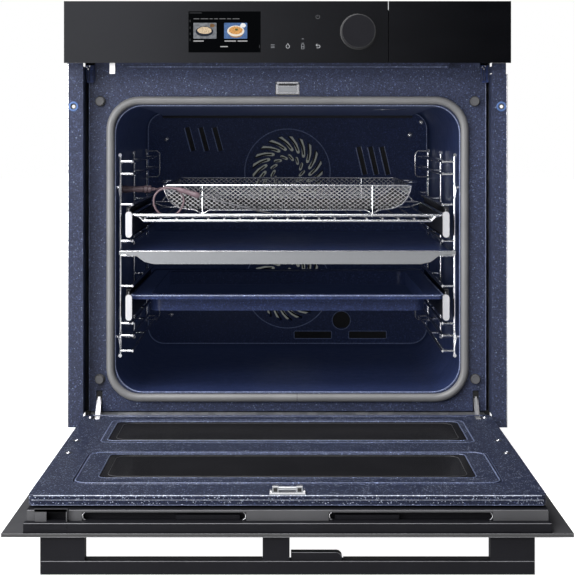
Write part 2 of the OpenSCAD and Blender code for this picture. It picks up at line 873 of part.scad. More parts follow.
module baking_tray() {
  rim_low = 193.7;
  rim_high = 199.8;
  floor_z = 175.8;
  y = [30, 430];
  color("#2a3046") placed() {
    difference() {
      translate([0, (y[0] + y[1]) / 2, rim_low]) linear_extrude(rim_high - rim_low - 1.6)
        difference() {
          rounded(428, y[1] - y[0], 12);
          rounded(376, y[1] - y[0] - 46, 16);
        }
      translate([0, (y[0] + y[1]) / 2, rim_low - 1]) linear_extrude(rim_high - rim_low - 2.6)
        difference() {
          rounded(425.6, y[1] - y[0] - 2.4, 11);
          rounded(378.4, y[1] - y[0] - 43.6, 17.2);
        }
    }
    translate([0, (y[0] + y[1]) / 2, floor_z]) difference() {
      linear_extrude(rim_low - floor_z + 1) rounded(378.4, y[1] - y[0] - 43.6, 17.2);
      translate([0, 0, 1.2]) linear_extrude(30) rounded(376, y[1] - y[0] - 46, 16);
    }
  }
}

// ---------------------------------------------------------------- main door

// Outline of one hinge arm, from its pivot up to the face plate's slot.
module arm_outline() {
  translate([hinge_y, hinge_z]) circle(7);
  polygon([[hinge_y - 3, hinge_z + 4], [hinge_y + 4, hinge_z - 4], [face_y + 2, 48],
    [face_y + 16, 48], [face_y + 16, 62], [face_y - 1, 62]]);
}

module hinge_arms() {
  color("#b8babc") placed() both_sides() difference() {
    sideways([arm_x - 1.5, arm_x + 1.5]) arm_outline();
    rod_x([arm_x - 3, arm_x + 3], hinge_y, hinge_z, hinge_pin_r + fit);
  }
}

module hinge_cases() {
  cheek = 1.5;
  x = [arm_x - 4.8, arm_x + 4.8];
  color("#a5a7a9") laid_open() both_sides() {
    for (left = [x[0], x[1] - cheek])
      block([left, left + cheek], [-7, 13.9], [20, 150]);
    block([x[0] + cheek, x[1] - cheek], [-7, -5.5], [60, 150]);
    rod_x([x[0] + cheek, x[1] - cheek], hinge_y, hinge_z, hinge_pin_r);
  }
}

module door_frame() {
  low = 20;
  front = -8;
  rim = 6.5;
  back = 17;
  skin = 1.2;
  inset = 12;
  window_mid = 132;
  opening_mid = 348;
  color("#3a4453") laid_open() {
    difference() {
      union() {
        panel(door_w, [low, door_top], 8, [12.4, back]);
        panel(door_w - 2.4, [low + 1.2, door_top - 1.2], 7, [11.4, 12.4]);
        panel(door_w, [low, door_top], 8, [rim, 11.4]);
        panel(door_w - inset, [low + 4, door_top - inset], 8, [front, rim]);
      }
      upright([front - 1, back + 1]) translate([0, window_mid]) rounded(447, 126, 10);
      upright([front - 1, back + 1]) translate([0, opening_mid]) rounded(472, 170, 20);
      block([-245, 245], [front - 1, back - skin], [low + 5, 60]);
      block([-232, 232], [front - 1, back - skin], [213, 259]);
      block([-232, 232], [front - 1, back - skin], [437, 470]);
      both_sides() block([240, 265], [front - 1, back - skin], [156, 468]);
      both_sides() block([arm_x - 5, arm_x + 5], [front - 1, 14], [low - 1, 152]);
      both_sides() block([arm_x - 5, arm_x + 5], [front - 1, back + 1], [low - 1, 52]);
    }
    both_sides() for (z = [100, 200]) rod_y(237, [glass_back, front + 2], z, 3);
    both_sides() block([262, 267], [glass_back, front], [60, 90]);
  }
}

module lower_glass() {
  color("#0a0b0d") laid_open()
    block([-half_front, half_front], [-front_out, glass_back], [16, lower_glass_top]);
}

module lower_window() {
  color("#15181f") laid_open() {
    panel(446.6, [69.2, 194.8], 9.8, [13, 16.4]);
    panel(446.6, [69.2, 194.8], 9.8, [-6, -3]);
  }
}

module door_latch() {
  base = [17, 18.5];
  block_y = [18.5, 25.2];
  color("#c2c4c6") laid_open() {
    block([-19, 19], base, [474, 484]);
    for (x = [[-16, -9.3], [9.3, 16]]) block(x, block_y, [475.5, 482]);
    rod_x([-9.3, 9.3], 23, 479, 2.4);
  }
}

// Pins that carry the flexible door, on brackets of the main door.
module flex_hinges() {
  color("#a5a7a9") laid_open() both_sides() {
    block([257, 260], [-16, -8], [flex_z - 3.2, flex_z + 3.2]);
    rod_x([260, 268.5], flex_y, flex_z, pin_r);
  }
}

// ---------------------------------------------------------------- flexible door

module upper_glass() {
  color("#0a0b0d") laid_open()
    block([-half_front, half_front], [-front_out, glass_back], [flex_z + 3, upper_glass_top]);
}

module upper_panel() {
  opening = [419.4, 127];
  opening_z = 338.5;
  plate_top = 474.6;
  color("#3a4453") laid_open() {
    difference() {
      panel(469, [265, 429], 18, [-12.5, 17]);
      upright([-14, 18]) translate([0, opening_z]) rounded(opening[0], opening[1], 10);
      block([-225, 225], [-11.5, 15.8], [268, 426]);
    }
    difference() {
      upright([glass_back, -12.5]) difference() {
        translate([-273, 243.5]) square([546, plate_top - 243.5]);
        translate([0, opening_z]) rounded(opening[0], opening[1], 10);
      }
      both_sides() block([255, 262.5], [-18, -12], [242, 246]);
    }
    both_sides() difference() {
      union() {
        sideways([263.5, 267.5]) translate([flex_y, flex_z]) circle(3.4);
        block([263.5, 267.5], [-16.8, -12.6], [flex_z, 244]);
      }
      rod_x([262, 269], flex_y, flex_z, pin_r + fit);
    }
  }
}

module upper_window() {
  color("#15181f") laid_open() {
    panel(419, [275.2, 401.8], 9.8, [13, 16.4]);
    panel(419, [275.2, 401.8], 9.8, [-9, -6]);
  }
}

module top_trim() {
  face_z = 495;
  ridge_z = 506.5;
  ridge_y = -7.4;
  back = 3.8;
  slot_y = [-6.6, 1.4];
  slot_x = [43.5, 215];
  color("#26272a") laid_open() difference() {
    union() {
      block([-273.4, 273.4], [glass_back, back], [475, face_z]);
      block([-275, 275], [glass_back, ridge_y], [face_z, ridge_z]);
      block([-264.5, -230], [-14, ridge_y - 1.8], [ridge_z - 1, ridge_z + 0.5]);
      block([-264.5, -230], [ridge_y, 6], [face_z, 499]);
    }
    both_sides() block(slot_x, slot_y, [face_z - 7, face_z + 1]);
    block([-251.5, -231.8], [-6.2, 2.8], [489, 500]);
    block([-225, 225], [glass_back - 1, back - 2], [473, 486]);
  }
}

module handle_bar() {
  posts = [[-257.5, -211.2], [-25.9, 2.2], [211.2, 257.5]];
  color("#28292e") laid_open() difference() {
    union() {
      block([-handle_w / 2, handle_w / 2], [-61, -47], [490, 505]);
      for (x = posts) block(x, [-47, -front_out], [490, 505]);
    }
    block([2.8, 58], [-57, -46], [491, 504]);
  }
}

module handle_lever() {
  pivot = [7, -52];
  height = [491.6, 503.4];
  corner_r = 6;
  x = [3.6, 57];
  y = [-50.5, -38.3];
  color("#303136") laid_open() difference() {
    union() {
      translate([0, 0, height[0]]) linear_extrude(height[1] - height[0]) {
        translate([x[0], y[0]]) square([x[1] - x[0] - corner_r, y[1] - y[0]]);
        translate([x[0], y[0]]) square([x[1] - x[0], y[1] - y[0] - corner_r]);
        translate([x[1] - corner_r, y[1] - corner_r]) circle(corner_r);
      }
      rod_z(pivot[0], pivot[1], height, 3);
    }
    rod_z(pivot[0], pivot[1], [490, 505], 1.2);
  }
}

control_fascia();
fascia_carrier();
display_screen();
circuit_boards();
dial_knob();
dial_shaft();
tank_fascia();
water_tank();
tank_bay();
top_cover();
side_panels();
rear_cover();
base_pan();
face_plate();
side_trims();
screw_bushes();
bumper_pads();
latch_catch();
cavity_liner();
rear_baffle();
cavity_gasket();
upper_fan();
lower_fan();
fan_motors();
heating_elements();
insulation();
blower_housing();
blower_rotor();
lamp_lens();
probe_socket();
probe_plug();
probe_cord();
probe_handle();
side_racks();
rail_bases();
upper_rail_middles();
upper_rail_runners();
lower_rail_middles();
lower_rail_runners();
wire_rack();
air_fry_basket();
divider_panel();
divider_trim();
baking_tray();
hinge_arms();
hinge_cases();
door_frame();
lower_glass();
lower_window();
door_latch();
upper_glass();
upper_panel();
upper_window();
top_trim();
flex_hinges();
handle_bar();
handle_lever();
switch_lever();
terminal_block();
baffle_screws();
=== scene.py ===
"""Looks of the built-in wall oven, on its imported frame. Metres, row frame: +X right, +Y into
the housing, +Z up, origin at the centre of the base pan's underside. The door is open at rest."""
import json
import math
import random

import bmesh
import bpy
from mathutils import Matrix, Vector


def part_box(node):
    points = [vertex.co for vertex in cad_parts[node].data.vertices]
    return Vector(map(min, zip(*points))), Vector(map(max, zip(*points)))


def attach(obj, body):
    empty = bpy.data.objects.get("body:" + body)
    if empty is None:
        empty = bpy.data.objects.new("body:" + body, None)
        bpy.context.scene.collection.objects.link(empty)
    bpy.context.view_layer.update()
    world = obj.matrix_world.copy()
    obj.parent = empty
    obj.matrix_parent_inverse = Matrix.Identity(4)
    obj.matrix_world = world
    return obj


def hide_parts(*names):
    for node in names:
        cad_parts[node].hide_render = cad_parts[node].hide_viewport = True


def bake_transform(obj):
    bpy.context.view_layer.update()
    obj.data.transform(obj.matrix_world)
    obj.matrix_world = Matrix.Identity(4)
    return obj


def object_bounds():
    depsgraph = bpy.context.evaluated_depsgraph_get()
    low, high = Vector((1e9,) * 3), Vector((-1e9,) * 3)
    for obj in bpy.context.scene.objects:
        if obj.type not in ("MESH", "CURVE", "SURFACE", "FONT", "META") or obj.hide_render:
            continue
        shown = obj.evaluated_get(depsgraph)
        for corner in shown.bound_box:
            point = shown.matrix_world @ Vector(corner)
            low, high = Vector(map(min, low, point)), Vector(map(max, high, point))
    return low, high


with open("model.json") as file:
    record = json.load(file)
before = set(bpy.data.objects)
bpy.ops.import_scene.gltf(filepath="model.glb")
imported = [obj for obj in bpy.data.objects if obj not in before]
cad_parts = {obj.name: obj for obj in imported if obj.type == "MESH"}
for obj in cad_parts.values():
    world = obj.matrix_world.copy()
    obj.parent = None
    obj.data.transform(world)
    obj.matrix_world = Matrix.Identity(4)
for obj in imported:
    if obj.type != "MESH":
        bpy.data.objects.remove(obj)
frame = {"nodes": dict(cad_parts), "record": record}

cad_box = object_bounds()
MM = 0.001
NODES = frame["nodes"]
scene = bpy.context.scene

# Depth of the cabinet's front plane in the row frame
FLANGE_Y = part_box("side_trims")[0].y + 1.5 * MM
# Main hinge axis, at the pins of the hinge arms
HINGE_Y = FLANGE_Y + 3 * MM
HINGE_Z = 26 * MM


def at(x, y, z):
    """A point given in millimetres from the cabinet's front plane and the base."""
    return Vector((x * MM, FLANGE_Y + y * MM, z * MM))


def opened(x, y, z):
    """A point of the door, given in millimetres as the door is when shut, at rest (open)."""
    return Vector((x * MM, HINGE_Y - (z * MM - HINGE_Z), HINGE_Z + (FLANGE_Y + y * MM - HINGE_Y)))


# ---- camera

camera = bpy.data.objects.new("camera", bpy.data.cameras.new("camera"))
scene.collection.objects.link(camera)
camera.location = at(0, -2112, 426.6)
camera.rotation_euler = (math.radians(90), 0, 0)
camera.data.lens = 98.4
camera.data.sensor_width = 36
camera.data.shift_y = -0.2767
camera.data.clip_end = 50
scene.camera = camera

# ---- materials


class Shader:
    """A material with a Principled shader and short calls for its texture nodes."""

    def __init__(self, name, color, roughness, metallic=0.0, specular=0.5, **values):
        self.material = bpy.data.materials.new(name)
        self.material.use_nodes = True
        self.tree = self.material.node_tree
        self.bsdf = self.tree.nodes["Principled BSDF"]
        self.set("Base Color", (*color, 1.0))
        self.set("Roughness", roughness)
        self.set("Metallic", metallic)
        self.set("Specular IOR Level", specular)
        for key, value in values.items():
            self.set(key.replace("_", " ").title(), value)
        self.place = self.node("ShaderNodeTexCoord").outputs["Object"]

    def set(self, socket, value):
        self.bsdf.inputs[socket].default_value = value

    def node(self, kind, values=(), **settings):
        """A node with its (input, value) pairs and its settings."""
        made = self.tree.nodes.new(kind)
        for key, value in settings.items():
            setattr(made, key, value)
        for key, value in values:
            made.inputs[key].default_value = value
        return made

    def link(self, a, b):
        self.tree.links.new(a, b)

    def coordinates(self, stretch=(1, 1, 1)):
        mapping = self.node("ShaderNodeMapping", [("Scale", stretch)])
        self.link(self.place, mapping.inputs["Vector"])
        return mapping.outputs["Vector"]

    def noise(self, scale, stretch=(1, 1, 1), detail=3.0):
        made = self.node("ShaderNodeTexNoise", [("Scale", scale), ("Detail", detail)])
        self.link(self.coordinates(stretch), made.inputs["Vector"])
        return made.outputs["Fac"]

    def cells(self, scale):
        """A random value for each cell of a fine net."""
        net = self.node("ShaderNodeTexVoronoi", [("Scale", scale)])
        self.link(self.place, net.inputs["Vector"])
        parts = self.node("ShaderNodeSeparateColor")
        self.link(net.outputs["Color"], parts.inputs["Color"])
        return parts.outputs["Red"]

    def ramp(self, source, stops):
        """Colour or value ramp: stops are (place, colour)."""
        made = self.node("ShaderNodeValToRGB")
        band = made.color_ramp
        while len(band.elements) < len(stops):
            band.elements.new(0.5)
        for element, (place, color) in zip(band.elements, stops):
            element.position = place
            element.color = color if len(color) == 4 else (*color, 1.0)
        self.link(source, made.inputs["Fac"])
        return made.outputs["Color"]

    def spread(self, source, low, high):
        """Maps 0..1 to low..high."""
        made = self.node("ShaderNodeMapRange", [("To Min", low), ("To Max", high)])
        self.link(source, made.inputs["Value"])
        return made.outputs["Result"]

    def times(self, a, b):
        made = self.node("ShaderNodeMix", [("Factor", 1.0)], data_type="RGBA", blend_type="MULTIPLY")
        self.link(a, made.inputs[6])
        self.link(b, made.inputs[7])
        return made.outputs[2]

    def bump(self, source, strength, depth):
        made = self.node("ShaderNodeBump", [("Strength", strength), ("Distance", depth)])
        self.link(source, made.inputs["Height"])
        self.link(made.outputs["Normal"], self.bsdf.inputs["Normal"])

    def color_from(self, source):
        self.link(source, self.bsdf.inputs["Base Color"])

    def roughness_from(self, source):
        self.link(source, self.bsdf.inputs["Roughness"])


def turns(count):
    """Angles that divide a full turn evenly."""
    return [2 * math.pi * k / count for k in range(count)]


def grey(value):
    return (value, value, value)


def scaled(color, factor):
    return tuple(min(1.0, factor * c) for c in color)


def enamel(name, color, fleck, roughness=0.3, sparkle=3.5, share=0.015, net=820, **values):
    """Vitreous enamel: fine light and dark grains, sparse bright flecks and a faint orange peel."""
    s = Shader(name, color, roughness, **values)
    grain = s.ramp(s.cells(net), [(0.0, scaled(color, 0.6)), (0.5, scaled(color, 0.9)),
                                  (0.85, scaled(color, 1.3)), (0.97, scaled(color, 1.9)),
                                  (1.0, scaled(color, sparkle))])
    cloud = s.ramp(s.noise(8, detail=2), [(0.3, grey(0.86)), (0.75, grey(1.0))])
    fleck_here = s.ramp(s.cells(0.93 * net), [(0.0, grey(0)), (1 - share, grey(0)),
        (1 - 0.8 * share, grey(0.35)), (1.0, grey(0.8))])
    shade = s.times(grain, cloud)
    made = s.node("ShaderNodeMix", [(7, (*fleck, 1.0))], data_type="RGBA")
    s.link(fleck_here, made.inputs["Factor"])
    s.link(shade, made.inputs[6])
    s.color_from(made.outputs[2])
    s.roughness_from(s.spread(s.noise(60), roughness - 0.05, roughness + 0.08))
    s.bump(s.noise(240, detail=2), 0.05, 0.0003)
    return s.material


def fill(*color):
    """A faint glow that stands for the light which the real cavity's walls throw on each other."""
    return {"emission_color": (*color, 1), "emission_strength": 1.0}


def metal(name, color, low, high, grain=(1, 1, 1), bump=0.05, scale=400, metallic=1.0):
    """Metal whose polish varies along its grain."""
    s = Shader(name, color, low, metallic)
    streaks = s.noise(scale, grain, detail=4)
    s.roughness_from(s.spread(streaks, low, high))
    s.color_from(s.ramp(streaks, [(0.3, scaled(color, 0.88)), (0.7, color)]))
    s.bump(streaks, bump, 0.0002)
    return s.material


def plastic(name, color, roughness, scale=900, bump=0.12, **values):
    """Moulded surface with a fine grain."""
    s = Shader(name, color, roughness, **values)
    grain = s.noise(scale, detail=2)
    s.color_from(s.ramp(s.noise(25), [(0.3, scaled(color, 0.85)), (0.7, color)]))
    s.roughness_from(s.spread(grain, roughness * 0.85, min(1.0, roughness * 1.15)))
    s.bump(grain, bump, 0.0002)
    return s.material


def glossy_glass(name, color, roughness, **values):
    """Opaque tinted glass with the faintest waviness and wipe marks."""
    s = Shader(name, color, roughness, **values)
    wipes = s.noise(14, (1, 1, 3), detail=4)
    s.color_from(s.ramp(wipes, [(0.3, color), (0.8, scaled(color, 1.3))]))
    s.roughness_from(s.spread(wipes, roughness, roughness + 0.04))
    return s.material


def galvanised(name):
    """Zinc spangle: cells of slightly different grey and polish."""
    s = Shader(name, (0.5, 0.51, 0.52), 0.4, 1.0)
    spangle = s.cells(110)
    s.color_from(s.ramp(spangle, [(0, (0.27, 0.28, 0.29)), (1, (0.37, 0.375, 0.385))]))
    s.roughness_from(s.spread(spangle, 0.46, 0.6))
    s.bump(s.noise(300), 0.04, 0.0002)
    return s.material


def wool(name):
    s = Shader(name, (0.62, 0.58, 0.45), 0.95)
    fibres = s.noise(500, (1, 1, 6), detail=8)
    s.color_from(s.ramp(fibres, [(0.3, (0.45, 0.41, 0.3)), (0.7, (0.72, 0.68, 0.55))]))
    s.bump(fibres, 0.6, 0.002)
    return s.material


def glowing(name, color, low=0.8, scale=700):
    """Lit patch of the display, with a soft unevenness."""
    s = Shader(name, scaled(color, 0.1), 0.4, specular=0.01)
    shade = s.ramp(s.noise(scale, detail=2), [(0.3, scaled(color, low)), (0.7, color)])
    s.link(shade, s.bsdf.inputs["Emission Color"])
    s.set("Emission Strength", 1.0)
    return s.material


NAVY = (0.019, 0.028, 0.078)
SLATE = (0.031, 0.0385, 0.076)

MATERIALS = {
    "black_glass": glossy_glass("black glass", (0.0006, 0.0007, 0.0012), 0.1, specular=1.0),
    "screen_glass": glossy_glass("screen glass", (0.002, 0.0022, 0.0026), 0.3, specular=0.1),
    "dark_window": glossy_glass("window glass", (0.0095, 0.0095, 0.0105), 0.16, specular=0.004),
    "clear_glass": glossy_glass("lamp glass", (0.10, 0.11, 0.13), 0.15),
    "navy_enamel": enamel("navy enamel", NAVY, (0.07, 0.09, 0.16), 0.3, 3.0, specular=0.16,
                          **fill(0.0030, 0.0045, 0.0115)),
    "grey_enamel": enamel("slate enamel", SLATE, (0.20, 0.24, 0.33), 0.36, specular=0.3),
    "dark_trim": plastic("dark trim", (0.0088, 0.0088, 0.0110), 0.46, 1400, 0.05, specular=0.09),
    "side_trim_grey": enamel("side trim", scaled(SLATE, 0.85), (0.18, 0.22, 0.3), 0.36, specular=0.3),
    "galvanised": galvanised("galvanised sheet"),
    "chrome_wire": metal("chrome wire", (0.86, 0.87, 0.89), 0.14, 0.28, bump=0.02),
    "stainless": metal("stainless steel", (0.42, 0.43, 0.445), 0.28, 0.42, (1, 12, 12)),
    "mesh_steel": metal("mesh steel", (0.7, 0.7, 0.71), 0.2, 0.36, bump=0.03),
    "light_metal": metal("satin aluminium", (0.66, 0.66, 0.68), 0.34, 0.48, (12, 1, 12), metallic=0.6),
    "dark_plastic": plastic("dark plastic", (0.012, 0.012, 0.014), 0.55),
    "white_plastic": plastic("white plastic", (0.82, 0.82, 0.82), 0.45),
    "blue_plastic": plastic("blue bush", (0.07, 0.13, 0.30), 0.4),
    "tank_plastic": plastic("tank plastic", (0.32, 0.36, 0.4), 0.25, 900, 0.03),
    "board_green": plastic("circuit board", (0.02, 0.12, 0.05), 0.4),
    "seal_rubber": plastic("silicone seal", (0.165, 0.165, 0.167), 0.45, 1500, 0.15),
    "pad_rubber": plastic("bumper rubber", (0.085, 0.085, 0.09), 0.6),
    "probe_silicone": plastic("probe silicone", (0.155, 0.105, 0.12), 0.42, 1200, 0.08),
    "blanket": wool("mineral wool"),
    "element_steel": metal("element tube", (0.07, 0.062, 0.055), 0.35, 0.55),
    "ceramic_white": plastic("terminal moulding", (0.7, 0.67, 0.58), 0.5),
}
DOOR_ENAMEL = enamel("door enamel", scaled(SLATE, 0.54), (0.5, 0.55, 0.68), 0.42, 5.0, 0.06, 1150,
                     specular=0.08)
DARK_RAIL = metal("dark rail steel", (0.10, 0.10, 0.105), 0.35, 0.5, (12, 1, 12))
FAN_STEEL = plastic("fan steel", (0.45, 0.47, 0.45), 0.45, **fill(0.09, 0.095, 0.09))
SPIKE_STEEL = metal("spike steel", (0.3, 0.3, 0.31), 0.3, 0.4)
# Darker copy of the mesh steel: painted shade on the basket's floor and side weave.
WEAVE_SHADE = metal("mesh steel in painted shade", (0.07, 0.07, 0.072), 0.4, 0.6, bump=0.03)
# Lighter, glowing enamel for the ceiling slope: painted light.
CEILING_LIT_ENAMEL = enamel("ceiling enamel with painted light", scaled(SLATE, 1.2), (0.2, 0.24, 0.33), 0.4, 3.0,
                        **fill(0.008, 0.0105, 0.022))
# Lighter enamel for rims and beads: painted highlights along lit edges.
RIM_HIGHLIGHT = enamel("enamel rim highlight", (0.13, 0.155, 0.25), (0.4, 0.46, 0.6), 0.3)
# Lighter, glowing enamel for rims on the cavity's back wall: dim painted highlights.
DIM_RIM_HIGHLIGHT = enamel("dim cavity rim highlight", (0.11, 0.13, 0.22), (0.3, 0.36, 0.48), 0.3, 1.5,
                 **fill(0.018, 0.024, 0.045))
# Lighter, glowing enamel along the cavity's front edge: painted highlight.
CAVITY_RIM_HIGHLIGHT = enamel("lit cavity rim", (0.2, 0.235, 0.36), (0.4, 0.46, 0.6), 0.3, 1.5,
                    **fill(0.06, 0.068, 0.1))
# Enamel a little lighter than what it lies on: soft painted highlights on lesser rims and beads.
SOFT_RIM_HIGHLIGHT = enamel("cavity rim", (0.055, 0.066, 0.12), (0.3, 0.36, 0.48), 0.3)
TRIM_FACE = plastic("trim face", (0.075, 0.075, 0.079), 0.5, 1400, 0.05, specular=0.2)
# Light grey lines along the dark trim's and glass's edges: painted highlights.
TRIM_EDGE_HIGHLIGHT = plastic("trim edge highlight", (0.20, 0.20, 0.21), 0.4, 1400, 0.05)
# Light enamel for the door's top edge beads: painted highlights.
EDGE_HIGHLIGHT = enamel("enamel edge highlight", (0.42, 0.45, 0.54), (0.7, 0.75, 0.85), 0.3)
SILVER = metal("polished steel", (0.9, 0.9, 0.91), 0.15, 0.3, bump=0.02, metallic=0.85)
# Black for real black parts, and for painted shade in slots, recesses, gaps, behind openings and at the
# foot of the side walls.
BLACK_AND_SHADE = plastic("black moulding and painted shade", (0.004, 0.004, 0.0045), 0.5)
GLASS_BACK = plastic("printed glass border", (0.05, 0.05, 0.053), 0.45, 1400, 0.04, specular=0.25)
GLASS_EDGE = plastic("ground glass edge", (0.11, 0.115, 0.12), 0.35, 1400, 0.03)
PRINT = glowing("panel print", (0.30, 0.31, 0.33))

for entry in frame["record"]["subparts"]:
    mesh = NODES[entry["node"]].data
    mesh.materials.clear()
    mesh.materials.append(MATERIALS[entry["material_slot"]])
FINISHES = (
    (SPIKE_STEEL, ("hinge_arms",)), (DOOR_ENAMEL, ("door_frame", "upper_panel")),
    (DARK_RAIL, ("rail_bases", "upper_rail_runners", "lower_rail_runners", "upper_rail_middles",
                 "lower_rail_middles")),
    (FAN_STEEL, ("upper_fan", "lower_fan")))
for finish, node_names in FINISHES:
    for node_name in node_names:
        NODES[node_name].data.materials[0] = finish

# ---- pieces


class Piece:
    """Mesh made of tubes, bevelled blocks, prisms and turned shapes, all of one finish."""

    def __init__(self, name, slot, material=None, body="chassis"):
        self.name, self.slot, self.body = name, slot, body
        self.material = material or MATERIALS[slot]
        self.bm = bmesh.new()

    def tube(self, points, radius, sides=10, closed=False, flat=1.0):
        """Round tube along points in metres; flat squashes it along its second axis."""
        points = [Vector(p) for p in points]
        count = len(points)
        up = None
        rings = []
        for i, p in enumerate(points):
            before = points[i - 1] if i or closed else p
            after = points[(i + 1) % count] if i < count - 1 or closed else p
            along = (after - before).normalized()
            if up is None:
                up = along.orthogonal().normalized()
            up = (up - along * up.dot(along)).normalized()
            side = along.cross(up)
            rings.append([self.bm.verts.new(
                p + radius * MM * (math.cos(a) * up + flat * math.sin(a) * side))
                for a in turns(sides)])
        spans = zip(rings, rings[1:] + rings[:1]) if closed else zip(rings, rings[1:])
        for low, high in spans:
            for k in range(sides):
                j = (k + 1) % sides
                self.bm.faces.new((low[k], low[j], high[j], high[k]))
        if not closed:
            self.bm.faces.new(rings[0][::-1])
            self.bm.faces.new(rings[-1])
        return self

    def prism(self, outline, origin, u, v, depth, bevel=0.3):
        """Polygon (millimetres along u and v from origin) thickened by depth along u x v."""
        u, v = Vector(u), Vector(v)
        across = u.cross(v) * depth * MM
        low = [self.bm.verts.new(origin + (a * u + b * v) * MM) for a, b in outline]
        high = [self.bm.verts.new(vert.co + across) for vert in low]
        faces = [self.bm.faces.new(low[::-1]), self.bm.faces.new(high)]
        count = len(outline)
        for i in range(count):
            j = (i + 1) % count
            faces.append(self.bm.faces.new((low[i], low[j], high[j], high[i])))
        if bevel:
            edges = {e for f in faces for e in f.edges
                     if len(e.link_faces) == 2 and e.calc_face_angle(0) > 0.6}
            bmesh.ops.bevel(self.bm, geom=list(edges), offset=bevel * MM, segments=2,
                            affect="EDGES", profile=0.6, clamp_overlap=True)
        return self

    def block(self, a, b, bevel=0.3):
        """Bevelled block between two corners given in metres."""
        low = Vector([min(p, q) for p, q in zip(a, b)])
        size = [abs(p - q) / MM for p, q in zip(a, b)]
        return self.prism([(0, 0), (size[0], 0), (size[0], size[1]), (0, size[1])], low,
                          (1, 0, 0), (0, 1, 0), size[2], min(bevel, 0.45 * min(size)))

    def turned(self, profile, center, axis, steps=32):
        """Profile of (radius, height) in millimetres turned about an axis through center."""
        axis = Vector(axis).normalized()
        u = axis.orthogonal().normalized()
        v = axis.cross(u)
        rings = []
        for radius, height in profile:
            middle = Vector(center) + axis * height * MM
            if radius < 1e-6:
                rings.append([self.bm.verts.new(middle)])
            else:
                rings.append([self.bm.verts.new(
                    middle + radius * MM * (math.cos(a) * u + math.sin(a) * v))
                    for a in turns(steps)])
        for low, high in zip(rings, rings[1:]):
            for k in range(steps):
                j = (k + 1) % steps
                corners = [low[k % len(low)], low[j % len(low)], high[j % len(high)], high[k % len(high)]]
                corners = list(dict.fromkeys(corners))
                if len(corners) > 2:
                    self.bm.faces.new(corners)
        return self

    def done(self, angle=40):
        mesh = bpy.data.meshes.new(self.name)
        bmesh.ops.recalc_face_normals(self.bm, faces=self.bm.faces)
        self.bm.to_mesh(mesh)
        self.bm.free()
        mesh.shade_smooth()
        mesh.set_sharp_from_angle(angle=math.radians(angle))
        mesh.materials.append(self.material)
        made = bpy.data.objects.new(self.name, mesh)
        scene.collection.objects.link(made)
        if self.body:
            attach(made, self.body)
        return made


def circle(x, y, z, radius, count):
    """Points of a circle that faces the front, in millimetres."""
    return [at(x + radius * math.cos(a), y, z + radius * math.sin(a)) for a in turns(count)]


def arc(center, radius, start, end, steps=8):
    """Points (a, b) of an arc, angles in degrees."""
    return [(center[0] + radius * math.cos(math.radians(start + (end - start) * i / steps)),
             center[1] + radius * math.sin(math.radians(start + (end - start) * i / steps)))
            for i in range(steps + 1)]


def rounded_outline(x, z, r, steps=6):
    """Rounded rectangle between x[0] and x[1], z[0] and z[1]."""
    return (arc((x[1] - r, z[1] - r), r, 0, 90, steps) + arc((x[0] + r, z[1] - r), r, 90, 180, steps)
            + arc((x[0] + r, z[0] + r), r, 180, 270, steps) + arc((x[1] - r, z[0] + r), r, 270, 360, steps))


def smooth_path(points, steps):
    """Smooth curve through all the points."""
    points = [Vector(p) for p in points]
    last = len(points) - 1
    made = []
    for i in range(last):
        a, b, c, d = (points[max(i - 1, 0)], points[i], points[i + 1], points[min(i + 2, last)])
        for s in range(steps):
            t = s / steps
            made.append(0.5 * (2 * b + (c - a) * t + (2 * a - 5 * b + 4 * c - d) * t * t
                               + (3 * b - a - 3 * c + d) * t * t * t))
    return made + [points[-1]]


X, Y, Z = (1, 0, 0), (0, 1, 0), (0, 0, 1)
OUT = (0, -1, 0)
SIDES = ((-1, "left"), (1, "right"))

# ---- temperature probe cord

CORD_ROUTE = [
    (-186, 100, 341), (-184, 100, 341), (-181, 97, 341.5), (-179, 89, 342.5), (-176, 79, 343),
    (-170, 68, 344), (-162, 61, 344.5), (-152, 58, 341.5), (-145, 57, 334), (-143, 56, 326),
    (-146, 55, 317), (-153, 54, 309), (-164, 53, 306.5), (-175, 52, 309), (-182, 51, 317),
    (-184, 50, 326), (-182, 49, 335), (-175, 48, 342), (-165, 48, 344.5), (-157, 48, 344.5),
    (-151, 48, 343.5)]


def probe_cord():
    route = smooth_path([at(*p) for p in CORD_ROUTE], 6)
    piece = Piece("probe_cord_tube", "probe_silicone", body=None)
    cord = piece.tube(route, 1.5, 12).done()
    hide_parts("probe_cord")
    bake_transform(cord)
    steel = Piece("probe_spike", "chrome_wire", SPIKE_STEEL, body="upper_carriage")
    collar, tip = at(-122, 49, 334), at(-10, 50, 306.2)
    reach = (tip - collar).length / MM
    steel.turned([(0, 0), (1.45, 0), (1.45, reach - 6), (0.5, reach), (0, reach)],
                 collar, (tip - collar).normalized(), 16).done()
    grip = Piece("probe_grip_rings", "probe_silicone", body="upper_carriage")
    start, end = at(-151, 48, 343.5), at(-127, 49, 335.5)
    line = (end - start).normalized()
    span = (end - start).length / MM
    grip.turned([(0, -1.5), (1.9, -1.5), (2.4, 0), (3.3, 1.5), (3.45, span * 0.4), (3.7, span - 3),
                 (4.4, span - 1), (4.4, span + 4), (3.2, span + 6.5), (0, span + 6.5)], start, line, 24)
    grip.done()
    plug = Piece("probe_plug_sleeve", "probe_silicone")
    plug.turned([(0, 0), (5.4, 0), (5.4, 6), (4.6, 8), (4.3, 30), (5.5, 31), (5.5, 35), (3.2, 37),
                 (2.5, 46), (1.7, 47), (0, 47)], at(-232.5, 100, 341), X, 24).done()


probe_cord()

# ---- control panel

GLASS_Y = -21
DIAL_X, DIAL_Z = 94, 555.2


def on_panel(x, z, out=0.0):
    return at(x, GLASS_Y - out, z)


